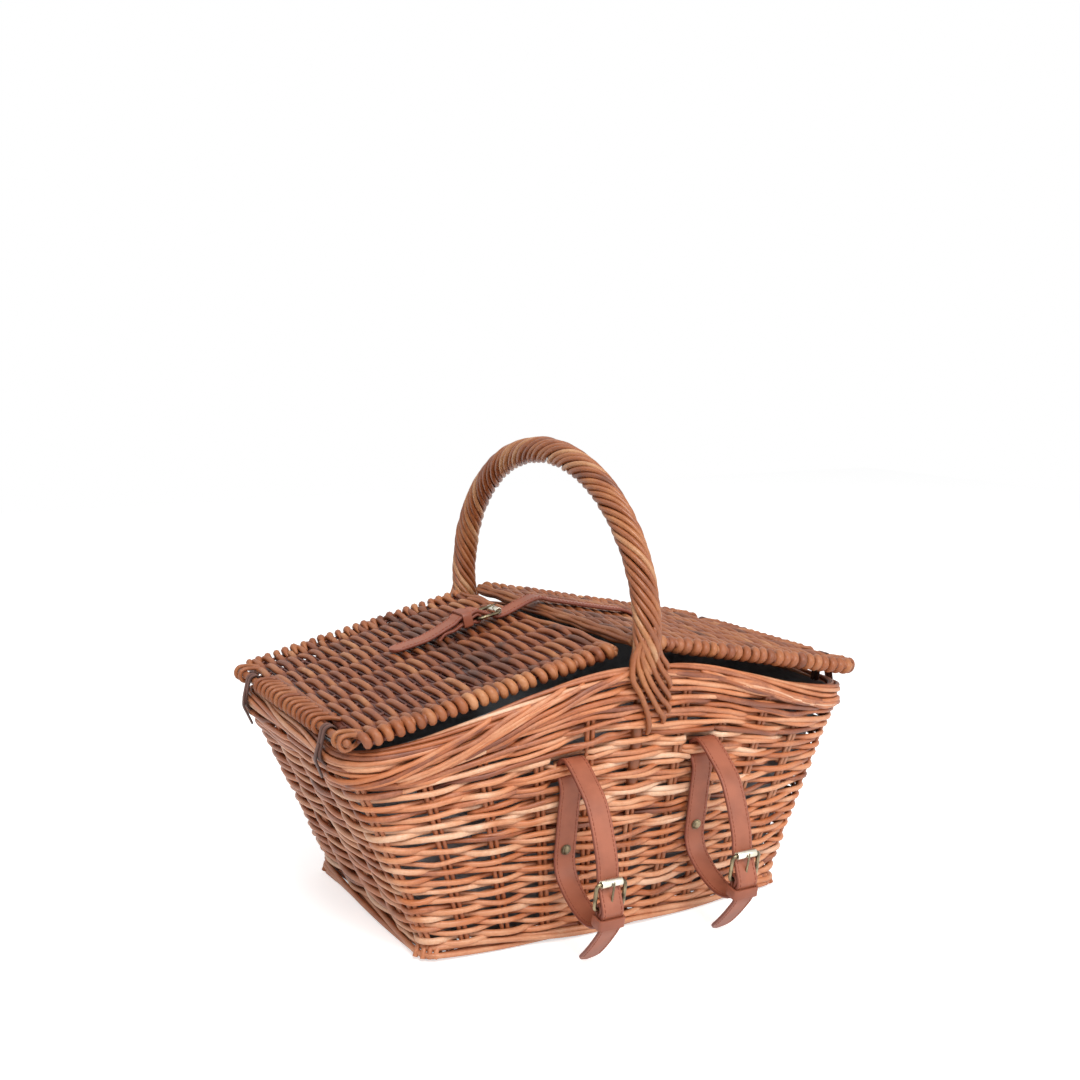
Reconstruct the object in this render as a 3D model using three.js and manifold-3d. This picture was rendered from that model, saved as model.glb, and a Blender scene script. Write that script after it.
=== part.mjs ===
// A rattan picnic basket: flared tub with a saddle rim, two lids tied on with leather thongs,
// a twisted cane handle, two buckled carrying straps on the front and one across the lids.
// Millimetres, +Z up. X runs along the length, the straps are on -Y, the base stands on z = 0.
import * as THREE from 'three';
import { mergeVertices } from 'three/addons/utils/BufferGeometryUtils.js';
import Module from 'manifold-3d';

const wasm = await Module();
wasm.setup();

// Clearances
const seatGap = 0.35; // pieces that touch
const runGap = 0.6; // pieces that turn on each other

// Tub
const rimLength = 460;
const rimEndWidth = 242;
const rimMidWidth = 314;
const rimCornerRadius = 34;
const rimEndHeight = 171;
const rimMidHeight = 217;
const baseLength = 330;
const baseEndWidth = 222;
const baseMidWidth = 252;
const baseCornerRadius = 18;
const tightestCorner = 6;
const sideBowPower = 1.6;
const wallThickness = 7;
const sideRibs = 5; // crowns of the weave over the stakes, on a quarter of a long side
const endRibs = 4; // and on half of an end
const ribEndGap = 0.1;
const ribValley = 3; // the weave dips this far between two stakes
const strapColumn = 3; // the valley that the weavers round a strap fill
const rimRoll = 13;
const rimSetIn = 5.5;
const footHeight = 12;
const footWidth = 10;
const basePanelThickness = 7;
const stakeDiameter = 5;
const crossStakeShares = [-0.67, -0.4, -0.13, 0.13, 0.4, 0.67];
const lengthStakeShares = [-0.72, -0.24, 0.24, 0.72];
const stakeBend = { knee: 7, kneeRise: 2, floor: 16 };
const crossStakeBend = { start: 3, rise: 8 };
const lengthStakeBend = { start: 1, rise: 14 };
const linerThickness = 1.6;
const linerDrop = 3;
const linerFold = { floor: 18, knee: 9, kneeRise: 5, low: 2.5, lowRise: 24 };

// Handle
const handleTop = 367;
const handleHalfSpan = 157;
const handleSpring = 240;
const handleCoreDiameter = 10;
const handleWrapDiameter = 22;
const handleLegBottom = 110;
const coreSkin = 2; // weave left outside the core
const strandCount = 8;
const strandDepth = 1.8;
const strandPitch = 58;
const footStrandCount = 5;
const footStrandDiameter = 4.6;
const footStrandSplay = 9;
const footStrandEnd = 165;

// Lids
const lidThickness = 12;
const lidChamfer = 3;
const lidOverhang = 17; // past the end of the rim, on each side
const lidCornerRadius = 24;
const lidRibs = 11; // crowns of the weave, over the sticks and halfway between them
const lidRibSpread = 0.93;
const lidRibCrown = 0.2; // half a crown, as a share of the pitch
const lidValleyFloor = 0.08;
const lidValleyThickness = 3.6;
const lidStickDiameter = 5.2;
const lidStickProud = 4;
const hingeStickDiameter = 6.6;
const lids = {
  left: { innerX: 20, innerSetIn: 17, overRim: 9, overMid: 8 },
  right: { innerX: 5, innerSetIn: 15, overRim: 14.5, overMid: 14.5 },
};

// Thongs that tie the lids to the rim
const thongFromSide = 33;
const thongWidth = 8;
const thongThickness = 1.8;
const thongNotch = 12;

// Leather straps and their buckles
const leatherThickness = 2.4;
const strapWidth = 18;
const strapPlaces = { left: -58, right: 60 };
const strapSlotHeight = 142.5;
const strapSlotTall = 27;
const strapBridgeTall = 7;
const strapBridgeDeep = 3;
const buckleHeelHeight = 56;
const buckleStandOff = 69; // heel bar from the wall at the same height
const buckleLean = 0.19;
const wireDiameter = 3;
const buckleReach = 20;
const buckleInnerWidth = 20.8;
const rollerDiameter = 5.6;
const rollerLength = 17;
const prongDiameter = 2;
const prongSlotWidth = 3.4;
const keeperLength = 8;
const keeperThickness = 1.8;
const keeperPlace = 9.5;
const strapTail = [[-31, -50], [-18, -38], [-6, -25]]; // out and up from the heel bar
const strapFall = [[-2, 32], [-6, 46], [-11, 59], [-18, 72], [-30, 83]];
const strapReturn = [[-60, 2.5], [-51, -6], [-39, -13], [-25, -17.5], [-13, -17.5]];
const slotTurn = { rise: 6, near: 5, far: 0.6, deep: 1.2, clear: 0.5, leave: 10.5 };
const rivetReach = 10; // flat strap above and below a rivet
const rivetHeight = 79;
const rivetHeadDiameter = 8.4;
const rivetShankDiameter = 3.2;
const lidStrapY = 20;
const lidBuckleX = -56;
const lidStrapTail = [[-78, 0.2], [-60, 0.2], [-47, 0.4], [-37, 2.2], [-27, 4.6], [-20, 6.3]];
const lidStrapAnchor = 96;
const lidChapeEnd = 37;
const lidChapeRise = [[-31, 0.5], [-22, 0.9]];
const pocketDepth = 3;
const pocketReach = 9;

// Places that follow from the sizes above
const { lerp } = THREE.MathUtils;
const halfLeather = leatherThickness / 2;
const wallDrop = rimRoll + seatGap * 3;
const stakeRadius = stakeDiameter / 2;
const stakeInset = wallThickness + seatGap * 2 + stakeRadius * 1.15;
const linerInset = stakeInset + stakeRadius * 1.15 + seatGap + runGap;
const stakeFloor = basePanelThickness + seatGap + stakeRadius;
const lengthStakeFloor = stakeFloor + stakeDiameter + seatGap;
const linerFloor = lengthStakeFloor + stakeRadius + seatGap;
const coreRadius = handleCoreDiameter / 2;
const coreInset = coreSkin + seatGap + coreRadius;
const lidHingeX = rimLength / 2 - rimSetIn;
const lidOuterHalfWidth = rimEndWidth / 2 + lidOverhang;
const hingeBorder = hingeStickDiameter + runGap * 2 + thongThickness; // plain strip along a lid's hinge
const thongY = rimEndWidth / 2 - thongFromSide;
const wireRadius = wireDiameter / 2;
const foldRadius = wireRadius + seatGap + halfLeather;
const billetOverHeel = foldRadius + leatherThickness + seatGap * 2;
const billetUnderRoller = rollerDiameter / 2 + seatGap * 2 + halfLeather;
const layerStep = leatherThickness + seatGap;
const keeperEnd = keeperPlace + keeperLength / 2;
const strapLie = seatGap * 2 + halfLeather;

// Tub surfaces. Level 0 is the top of the foot, level 1 the underside of the rim roll.
function halfWidthAt(x, level, inset) {
  const halfLength = lerp(baseLength, rimLength, level) / 2;
  const endHalf = lerp(baseEndWidth, rimEndWidth, level) / 2;
  const bow = lerp(baseMidWidth - baseEndWidth, rimMidWidth - rimEndWidth, level) / 2;
  const share = Math.min(1, Math.abs(x) / halfLength);
  return endHalf + bow * (1 - share ** sideBowPower) - inset;
}

function rimHeightAt(x) {
  const share = Math.min(1, Math.abs(x) / (rimLength / 2));
  return rimEndHeight + (rimMidHeight - rimEndHeight) * Math.cos((share * Math.PI) / 2) ** 2;
}

function levelAt(x, z) {
  return (z - footHeight) / (rimHeightAt(x) - wallDrop - footHeight);
}

function wallFaceAt(x, z) {
  return halfWidthAt(x, levelAt(x, z), 0);
}

// One quarter of the tub's outline, from the middle of the long side to the middle of the end. Its points
// are by turns crowns of the weave and valleys, apart from one valley that may be filled.
function quarterOutline(level, inset, valley = 0, filled = -1) {
  const end = lerp(baseLength, rimLength, level) / 2 - inset;
  const corner = Math.max(lerp(baseCornerRadius, rimCornerRadius, level) - inset, tightestCorner);
  const turnX = end - corner;
  const turn = new THREE.Vector2(turnX, halfWidthAt(turnX, level, inset));
  const tip = new THREE.Vector2(end, halfWidthAt(end, level, inset));
  const endStart = new THREE.Vector2(end, tip.y - corner);
  const bend = new THREE.QuadraticBezierCurve(turn, tip, endStart);
  const sideSteps = sideRibs * 2 - 1;
  const endSteps = endRibs * 2 - 1;
  const points = [];
  for (let i = 0; i <= sideSteps; i++) {
    const x = (turnX * i) / (sideSteps + ribEndGap);
    const dip = i === filled ? 0 : (i % 2) * valley;
    points.push(new THREE.Vector2(x, halfWidthAt(x, level, inset + dip)));
  }
  const inward = new THREE.Vector2(-valley, -valley).multiplyScalar(Math.SQRT1_2);
  points.push(bend.getPoint(0.5), bend.getPoint(1 - ribEndGap).add(inward));
  for (let i = 0; i <= endSteps; i++) {
    const share = lerp(ribEndGap / 3, 1, i / endSteps);
    points.push(new THREE.Vector2(end - (i % 2) * valley, endStart.y * (1 - share)));
  }
  return points;
}

function outline(level, inset, valley) {
  const rear = quarterOutline(level, inset, valley);
  const front = quarterOutline(level, inset, valley, strapColumn);
  const turned = (points, sx, sy) => points.map((p) => new THREE.Vector2(p.x * sx, p.y * sy));
  const between = (points) => points.slice(1, -1).reverse();
  return [
    ...rear,
    ...turned(between(front), 1, -1),
    ...turned(front, -1, -1),
    ...turned(between(rear), -1, 1),
  ];
}

// A ring of points that keeps its share of the height under the saddle-shaped rim.
function saddleRing(level, inset, drop, valley) {
  return outline(level, inset, valley).map((p) => {
    const top = rimHeightAt(p.x) - drop;
    return new THREE.Vector3(p.x, p.y, lerp(footHeight, top, level));
  });
}

function flatRing(level, inset, z) {
  return outline(level, inset).map((p) => new THREE.Vector3(p.x, p.y, z));
}

// Skins a stack of rings with equal point counts. A closed stack bends back to its first ring,
// an open one is capped at both ends.
function skin(rings, closed) {
  const count = rings[0].length;
  const points = rings.flat();
  const faces = [];
  const spans = closed ? rings.length : rings.length - 1;
  for (let r = 0; r < spans; r++) {
    const here = r * count;
    const next = ((r + 1) % rings.length) * count;
    for (let i = 0; i < count; i++) {
      const j = (i + 1) % count;
      faces.push([here + i, here + j, next + j], [here + i, next + j, next + i]);
    }
  }
  if (!closed) {
    const last = (rings.length - 1) * count;
    for (const [start, turned] of [[0, true], [last, false]]) {
      const centre = new THREE.Vector3();
      for (let i = 0; i < count; i++) {
        centre.addScaledVector(points[start + i], 1 / count);
      }
      const hub = points.push(centre) - 1;
      for (let i = 0; i < count; i++) {
        const a = start + i;
        const b = start + ((i + 1) % count);
        faces.push(turned ? [hub, b, a] : [hub, a, b]);
      }
    }
  }
  return closedGeometry(points, faces);
}

// Turns the faces outwards, whichever way round the rings ran.
function closedGeometry(points, faces) {
  let volume = 0;
  for (const [a, b, c] of faces) {
    volume += points[a].dot(new THREE.Vector3().crossVectors(points[b], points[c]));
  }
  const outward = volume > 0 ? faces : faces.map(([a, b, c]) => [a, c, b]);
  const geometry = new THREE.BufferGeometry().setFromPoints(points);
  geometry.setIndex(outward.flat());
  return geometry;
}

function solidOf(geometry) {
  const bare = geometry.clone();
  bare.deleteAttribute('normal');
  bare.deleteAttribute('uv');
  const merged = mergeVertices(bare, 1e-4);
  const mesh = new wasm.Mesh({
    numProp: 3,
    vertProperties: new Float32Array(merged.attributes.position.array),
    triVerts: new Uint32Array(merged.index.array),
  });
  return new wasm.Manifold(mesh);
}

function geometryOf(solid) {
  const mesh = solid.getMesh();
  const geometry = new THREE.BufferGeometry();
  geometry.setAttribute('position', new THREE.BufferAttribute(mesh.vertProperties, 3));
  geometry.setIndex(new THREE.BufferAttribute(mesh.triVerts, 1));
  return geometry;
}

function cut(geometry, cutters) {
  return geometryOf(cutters.reduce((solid, cutter) => solid.subtract(solidOf(cutter)), solidOf(geometry)));
}

function join(geometries) {
  return geometryOf(geometries.map(solidOf).reduce((whole, solid) => whole.add(solid)));
}

// A round rod along a curve.
function rod(curve, diameter, sides, steps) {
  const section = new THREE.Shape();
  for (let i = 0; i < sides; i++) {
    const angle = (i / sides) * Math.PI * 2;
    const x = (Math.cos(angle) * diameter) / 2;
    const y = (Math.sin(angle) * diameter) / 2;
    if (i === 0) section.moveTo(x, y);
    else section.lineTo(x, y);
  }
  section.closePath();
  return new THREE.ExtrudeGeometry(section, { extrudePath: curve, steps, bevelEnabled: false });
}

// A five-sided rod with a section at each given point, bent about one axis.
function bentRod(places, across, diameter) {
  const points = places.map((p) => new THREE.Vector3(...p));
  const sides = 5;
  const rings = points.map((at, i) => {
    const before = points[Math.max(i - 1, 0)];
    const after = points[Math.min(i + 1, points.length - 1)];
    const along = after.clone().sub(before).normalize();
    const out = new THREE.Vector3().crossVectors(along, across).normalize();
    const side = new THREE.Vector3().crossVectors(out, along);
    const ring = [];
    for (let k = 0; k < sides; k++) {
      const angle = (k / sides) * Math.PI * 2;
      const point = at.clone().addScaledVector(side, (Math.cos(angle) * diameter) / 2);
      ring.push(point.addScaledVector(out, (Math.sin(angle) * diameter) / 2));
    }
    return ring;
  });
  return skin(rings, false);
}

function smoothCurve(points) {
  return new THREE.CatmullRomCurve3(points, false, 'centripetal');
}

function block(x0, x1, y0, y1, z0, z1) {
  const geometry = new THREE.BoxGeometry(x1 - x0, y1 - y0, z1 - z0);
  return geometry.translate((x0 + x1) / 2, (y0 + y1) / 2, (z0 + z1) / 2);
}

// A leather strip: a flat band that follows a curve in a plane and is as wide as the strap.
function strip(points) {
  const curve = smoothCurve(points.map((p) => new THREE.Vector3(p.x, p.y, 0)));
  const steps = (points.length - 1) * 2;
  const upper = [];
  const lower = [];
  for (let i = 0; i <= steps; i++) {
    const at = curve.getPoint(i / steps);
    const along = curve.getTangent(i / steps);
    upper.push(new THREE.Vector2(at.x - along.y * halfLeather, at.y + along.x * halfLeather));
    lower.push(new THREE.Vector2(at.x + along.y * halfLeather, at.y - along.x * halfLeather));
  }
  const shape = new THREE.Shape([...upper, ...lower.reverse()]);
  const geometry = new THREE.ExtrudeGeometry(shape, { depth: strapWidth, bevelEnabled: false });
  return geometry.translate(0, 0, -strapWidth / 2);
}

// Named meshes and their materials
const basket = new THREE.Group();

function rattan(colour) {
  return new THREE.MeshStandardMaterial({ color: colour, roughness: 0.55, metalness: 0 });
}

function leather(colour) {
  return new THREE.MeshStandardMaterial({ color: colour, roughness: 0.5, metalness: 0 });
}

function antiqueBrass() {
  return new THREE.MeshStandardMaterial({ color: 0xb59a62, roughness: 0.32, metalness: 1 });
}

function linerCloth() {
  return new THREE.MeshStandardMaterial({ color: 0x4a4a4e, roughness: 0.95, metalness: 0 });
}

const honey = 0xb8743c;
const caramel = 0xa0683a;
const umber = 0x8a5a36;
const tan = 0x9a5232;
const chocolate = 0x5a3524;

function add(name, geometry, material, parent = basket) {
  const mesh = new THREE.Mesh(geometry, material);
  mesh.name = name;
  parent.add(mesh);
  return mesh;
}

// Tub
function basePanel() {
  const inset = footWidth + seatGap;
  return skin([flatRing(0, inset, 0), flatRing(0, inset, basePanelThickness)], false);
}

function footBorder() {
  const round = 2;
  const profile = [
    [0, round], [0, footHeight - round], [round, footHeight - seatGap],
    [footWidth - round, footHeight - seatGap], [footWidth, footHeight - round],
    [footWidth, 0], [round, 0],
  ];
  return skin(profile.map(([inset, z]) => flatRing(0, inset, z)), true);
}

function wallShell() {
  const levels = [0, 0.25, 0.5, 0.75, 1];
  const outer = levels.map((level) => saddleRing(level, 0, wallDrop, ribValley));
  const inner = levels.map((level) => saddleRing(level, wallThickness, wallDrop)).reverse();
  return skin([...outer, ...inner], true);
}

function linerCup() {
  const cup = (inset, rise) => [
    flatRing(0, inset + linerFold.floor, linerFloor + rise),
    flatRing(0, inset + linerFold.knee, linerFloor + linerFold.kneeRise + rise),
    flatRing(0.15, inset + linerFold.low, footHeight + linerFold.lowRise),
    saddleRing(0.5, inset, linerDrop),
    saddleRing(1, inset, linerDrop),
  ];
  const outer = cup(linerInset, 0);
  const inner = cup(linerInset + linerThickness, linerThickness).reverse();
  return skin([...outer, ...inner], false);
}

// Each stake is one rod that runs up one wall, across the base and up the wall opposite.
function crossStake(share) {
  const at = (level) => (share * lerp(baseLength, rimLength, level)) / 2;
  const onWall = (level) => {
    const x = at(level);
    const z = lerp(footHeight, rimHeightAt(x) - wallDrop - seatGap, level);
    return [x, halfWidthAt(x, level, stakeInset), z];
  };
  const x0 = at(0);
  const half = [
    onWall(1),
    onWall(0.5),
    onWall(0.16),
    [at(0.04), halfWidthAt(x0, 0, stakeInset + crossStakeBend.start), footHeight + crossStakeBend.rise],
    [x0, halfWidthAt(x0, 0, stakeInset + stakeBend.knee), stakeFloor + stakeBend.kneeRise],
    [x0, halfWidthAt(x0, 0, stakeInset + stakeBend.floor), stakeFloor],
  ];
  const across = new THREE.Vector3(1, 0, 0);
  return bentRod([...half, ...half.map(([x, y, z]) => [x, -y, z]).reverse()], across, stakeDiameter);
}

function lengthStake(share) {
  const onEnd = (level) => {
    const y = (share * lerp(baseEndWidth, rimEndWidth, level)) / 2;
    const x = lerp(baseLength, rimLength, level) / 2 - stakeInset;
    return [x, y, lerp(footHeight, rimEndHeight - wallDrop - seatGap, level)];
  };
  const y0 = (share * baseEndWidth) / 2;
  const x0 = baseLength / 2 - stakeInset;
  const half = [
    onEnd(1),
    onEnd(0.5),
    onEnd(0.2),
    [x0 - lengthStakeBend.start, y0, footHeight + lengthStakeBend.rise],
    [x0 - stakeBend.knee, y0, lengthStakeFloor + stakeBend.kneeRise],
    [x0 - stakeBend.floor, y0, lengthStakeFloor],
  ];
  const across = new THREE.Vector3(0, 1, 0);
  return bentRod([...half, ...half.map(([x, y, z]) => [-x, y, z]).reverse()], across, stakeDiameter);
}

// Half of the rolled rim, from the front leg of the handle round one end to the back leg.
function rimRollHalf(side) {
  const start = coreRadius + runGap;
  const onRim = (x, y) => new THREE.Vector3(side * x, y, rimHeightAt(x) - rimRoll / 2);
  const back = quarterOutline(1, rimSetIn).slice(1);
  const points = [
    onRim(start, halfWidthAt(start, 1, rimSetIn)),
    ...back.map((p) => onRim(p.x, p.y)),
    ...back.slice(0, -1).reverse().map((p) => onRim(p.x, -p.y)),
    onRim(start, -halfWidthAt(start, 1, rimSetIn)),
  ];
  return rod(smoothCurve(points), rimRoll, 8, 34);
}

// Handle
function handleCurve() {
  const leg = (z) => [halfWidthAt(0, Math.min(levelAt(0, z), 1), coreInset), z];
  const half = [
    leg(handleLegBottom),
    leg(lerp(handleLegBottom, rimMidHeight, 0.5)),
    leg(rimMidHeight - rimRoll),
    [handleHalfSpan, handleSpring],
  ];
  const bowSteps = 10;
  const bow = [];
  for (let i = 1; i < bowSteps; i++) {
    const angle = (i / bowSteps) * Math.PI;
    const rise = (handleTop - handleSpring) * Math.sin(angle);
    bow.push([handleHalfSpan * Math.cos(angle), handleSpring + rise]);
  }
  const path = [...half, ...bow, ...half.map(([y, z]) => [-y, z]).reverse()];
  return smoothCurve(path.map(([y, z]) => new THREE.Vector3(0, y, z)));
}

// The strands lie side by side round the core, so their crowns twist along the bow.
function handleWrap(curve) {
  const steps = 72;
  const foot = wrapStart(curve);
  const length = curve.getLength() * (1 - 2 * foot);
  const rings = [];
  for (let i = 0; i <= steps; i++) {
    const u = lerp(foot, 1 - foot, i / steps);
    const at = curve.getPointAt(u);
    const along = curve.getTangentAt(u);
    const across = new THREE.Vector3(1, 0, 0);
    const out = new THREE.Vector3().crossVectors(across, along);
    const twist = ((i / steps) * length * Math.PI * 2) / strandPitch;
    const ring = [];
    for (let k = 0; k < strandCount * 2; k++) {
      const radius = handleWrapDiameter / 2 - (k % 2) * strandDepth;
      const angle = (k / (strandCount * 2)) * Math.PI * 2 + twist;
      const point = at.clone();
      point.addScaledVector(across, radius * Math.cos(angle));
      point.addScaledVector(out, radius * Math.sin(angle));
      ring.push(point);
    }
    rings.push(ring);
  }
  return cut(skin(rings, false), [rod(curve, handleCoreDiameter + seatGap * 2, 8, 36)]);
}

// Share of the bow's length at which the wrap starts, just above the rim.
function wrapStart(curve) {
  let u = 0;
  while (curve.getPointAt(u).z < rimMidHeight + 1) {
    u += 0.001;
  }
  return u;
}

// Strand ends that leave the wrap and spread down over the outside of the wall.
function handleFoot(side) {
  const radius = footStrandDiameter / 2;
  const strands = [];
  for (let i = 0; i < footStrandCount; i++) {
    const lane = i - (footStrandCount - 1) / 2;
    const proud = rimRoll / 2 - rimSetIn + seatGap + radius;
    const stand = seatGap + radius * 1.1;
    const narrow = lane * footStrandDiameter * 0.7;
    const wide = lane * footStrandSplay;
    const below = rimMidHeight - rimRoll * 1.5;
    const points = [
      [narrow, halfWidthAt(narrow, 1, -proud), rimMidHeight + 1 - seatGap - radius],
      [narrow, halfWidthAt(narrow, 1, -proud), rimMidHeight - rimRoll / 2],
      [lerp(narrow, wide, 0.4), wallFaceAt(wide, below) + stand + 0.6, below],
      [wide, wallFaceAt(wide, footStrandEnd) + stand, footStrandEnd],
    ];
    const curve = smoothCurve(points.map(([x, y, z]) => new THREE.Vector3(x, side * y, z)));
    strands.push(rod(curve, footStrandDiameter, 6, 6));
  }
  return join(strands);
}

// Lids, each in a frame whose X runs from the hinge stick up towards the handle.
function hingeHeight(lid) {
  return rimEndHeight + lid.overRim;
}

function lidRise(lid) {
  return rimMidHeight + lid.overMid - hingeHeight(lid);
}

function lidSlope(lid) {
  return Math.atan2(lidRise(lid), lidHingeX - lid.innerX);
}

function lidLength(lid) {
  return Math.hypot(lidRise(lid), lidHingeX - lid.innerX);
}

function lidHalfWidth(lid, u) {
  const inner = rimMidWidth / 2 - lid.innerSetIn;
  return lerp(lidOuterHalfWidth, inner, Math.max(u, 0) / lidLength(lid));
}

function lidFrame(lid, turned) {
  const place = new THREE.Group();
  place.position.set(turned ? lidHingeX : -lidHingeX, 0, hingeHeight(lid));
  place.rotation.z = turned ? Math.PI : 0;
  const tilt = new THREE.Group();
  tilt.rotation.y = -lidSlope(lid);
  place.add(tilt);
  basket.add(place);
  return tilt;
}

function lidSection(u, halfWidth, height) {
  const h = height / 2;
  const chamfer = Math.min(lidChamfer, height / 3);
  const w = halfWidth;
  return [
    [w - chamfer, -h], [w, -h + chamfer], [w, h - chamfer], [w - chamfer, h],
    [-w + chamfer, h], [-w, h - chamfer], [-w, -h + chamfer], [-w + chamfer, -h],
  ].map(([y, z]) => new THREE.Vector3(u, y, z));
}

// Place across the lid of a crown of the weave, counted from one side. Halves are valleys.
function ribY(lid, count, u) {
  return lidRibSpread * ((2 * count) / (lidRibs - 1) - 1) * lidHalfWidth(lid, u);
}

// Every other crown has a stick inside it.
function stickLine(lid, index, from, to) {
  const at = (u) => new THREE.Vector3(u, ribY(lid, index * 2, u), 0);
  return new THREE.LineCurve3(at(from), at(to));
}

const lidStickCount = (lidRibs + 1) / 2;
const stickStart = hingeBorder;

function lidStick(lid, index) {
  const end = lidLength(lid) + lidStickProud;
  return rod(stickLine(lid, index, stickStart, end), lidStickDiameter, 8, 1);
}

function hingeStickLine(reach) {
  return new THREE.LineCurve3(new THREE.Vector3(0, -reach, 0), new THREE.Vector3(0, reach, 0));
}

function hingeStick() {
  const reach = lidOuterHalfWidth - lidCornerRadius / 2;
  return rod(hingeStickLine(reach), hingeStickDiameter, 10, 1);
}

// The valley between two crowns, on the top face (1) or the underside (-1).
function lidValley(lid, count, face) {
  const low = (face * lidValleyThickness) / 2;
  const high = face * lidThickness;
  const edge = (face * lidThickness) / 2;
  const section = (u, floor) => {
    const y = ribY(lid, count + 0.5, u);
    const pitch = ribY(lid, count + 1, u) - ribY(lid, count, u);
    const wide = pitch * (0.5 - lidRibCrown);
    const narrow = pitch * lidValleyFloor;
    return [
      [y - narrow, floor], [y + narrow, floor], [y + wide, edge],
      [y + wide, high], [y - wide, high], [y - wide, edge],
    ].map(([across, z]) => new THREE.Vector3(u, across, z));
  };
  const full = hingeBorder + lidThickness / 2;
  const past = lidLength(lid) + lidStickProud;
  return skin([section(hingeBorder, edge), section(full, low), section(past, low)], false);
}

function lidPanel(lid, pocket) {
  const length = lidLength(lid);
  const nose = lidThickness / 2;
  const widthAt = (u) => {
    const short = Math.max(lidCornerRadius - nose - u, 0);
    return lidHalfWidth(lid, u) - lidCornerRadius + Math.sqrt(lidCornerRadius ** 2 - short ** 2);
  };
  const cornerEnd = lidCornerRadius - nose;
  const rings = [
    lidSection(-nose, widthAt(-nose), lidThickness * 0.35),
    lidSection(-nose * 0.7, widthAt(-nose * 0.7), lidThickness * 0.72),
    ...[0, 0.33, 0.66, 1].map((share) => {
      const u = cornerEnd * share;
      return lidSection(u, widthAt(u), lidThickness);
    }),
    lidSection(length, widthAt(length), lidThickness),
  ];
  const cutters = [rod(hingeStickLine(lidOuterHalfWidth), hingeStickDiameter + seatGap * 2, 10, 1)];
  for (let i = 0; i < lidStickCount; i++) {
    const line = stickLine(lid, i, stickStart - seatGap, length + lidStickProud);
    cutters.push(rod(line, lidStickDiameter + seatGap * 2, 8, 1));
  }
  for (let i = 0; i < lidRibs - 1; i++) {
    cutters.push(lidValley(lid, i, 1), lidValley(lid, i, -1));
  }
  const notchEnd = hingeStickDiameter / 2 + (runGap + thongThickness) * 2;
  for (const y of [-thongY, thongY]) {
    const half = thongNotch / 2;
    cutters.push(block(-nose * 2, notchEnd, y - half, y + half, -lidThickness, lidThickness));
  }
  cutters.push(pocket);
  return cut(skin(rings, false), cutters);
}

// A thong loop goes round the rim and the hinge stick like a belt round two pulleys.
function beltShape(low, lowRadius, high, highRadius) {
  const rise = high - low;
  const lean = Math.asin((lowRadius - highRadius) / rise);
  const shape = new THREE.Path();
  shape.absarc(0, high, highRadius, lean, Math.PI - lean, false);
  shape.absarc(0, low, lowRadius, Math.PI - lean, Math.PI * 2 + lean, false);
  shape.closePath();
  return shape;
}

function thongLoop(lid) {
  const low = rimEndHeight - rimRoll / 2;
  const high = hingeHeight(lid);
  const rimRadius = rimRoll / 2 + seatGap + runGap;
  const stickRadius = hingeStickDiameter / 2 + runGap;
  const outer = beltShape(low, rimRadius + thongThickness, high, stickRadius + thongThickness);
  const shape = new THREE.Shape(outer.getPoints(6));
  shape.holes.push(new THREE.Path(beltShape(low, rimRadius, high, stickRadius).getPoints(6)));
  const geometry = new THREE.ExtrudeGeometry(shape, { depth: thongWidth, bevelEnabled: false });
  return geometry.translate(0, 0, -thongWidth / 2).rotateX(Math.PI / 2);
}

// Buckles, in a frame with X along the bars, Y from the heel bar to the roller, Z outwards.
function buckleFrame() {
  const half = buckleInnerWidth / 2 + wireRadius;
  const corner = 3;
  const path = new THREE.Path();
  path.absarc(half - corner, buckleReach - corner, corner, 0, Math.PI / 2, false);
  path.absarc(-half + corner, buckleReach - corner, corner, Math.PI / 2, Math.PI, false);
  path.absarc(-half + corner, corner, corner, Math.PI, Math.PI * 1.5, false);
  path.absarc(half - corner, corner, corner, Math.PI * 1.5, Math.PI * 2, false);
  const points = path.getPoints(2);
  const rings = points.map((p, i) => {
    const before = points[(i + points.length - 1) % points.length];
    const after = points[(i + 1) % points.length];
    const along = after.clone().sub(before).normalize();
    const ring = [];
    for (let k = 0; k < 8; k++) {
      const angle = (k / 8) * Math.PI * 2;
      const side = wireRadius * Math.cos(angle);
      ring.push(new THREE.Vector3(p.x + along.y * side, p.y - along.x * side, wireRadius * Math.sin(angle)));
    }
    return ring;
  });
  return skin(rings, true);
}

function buckleRoller() {
  const bore = wireRadius + seatGap;
  const outer = rollerDiameter / 2;
  const half = rollerLength / 2;
  const profile = [[bore, -half], [outer, -half], [outer, half], [bore, half], [bore, -half]];
  const geometry = new THREE.LatheGeometry(profile.map(([r, h]) => new THREE.Vector2(r, h)), 12);
  return geometry.rotateZ(Math.PI / 2).translate(0, buckleReach, 0);
}

function buckleProng() {
  const hook = wireRadius + seatGap * 1.3 + prongDiameter / 2;
  const points = [];
  for (let degrees = 330; degrees >= 90; degrees -= 30) {
    const angle = THREE.MathUtils.degToRad(degrees);
    points.push(new THREE.Vector3(0, hook * Math.cos(angle), hook * Math.sin(angle)));
  }
  const tip = rollerDiameter / 2 + seatGap + prongDiameter / 2;
  points.push(new THREE.Vector3(0, buckleReach * 0.5, lerp(hook, tip, 0.4)));
  points.push(new THREE.Vector3(0, buckleReach + rollerDiameter / 2, tip));
  return rod(smoothCurve(points), prongDiameter, 6, 16);
}

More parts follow.
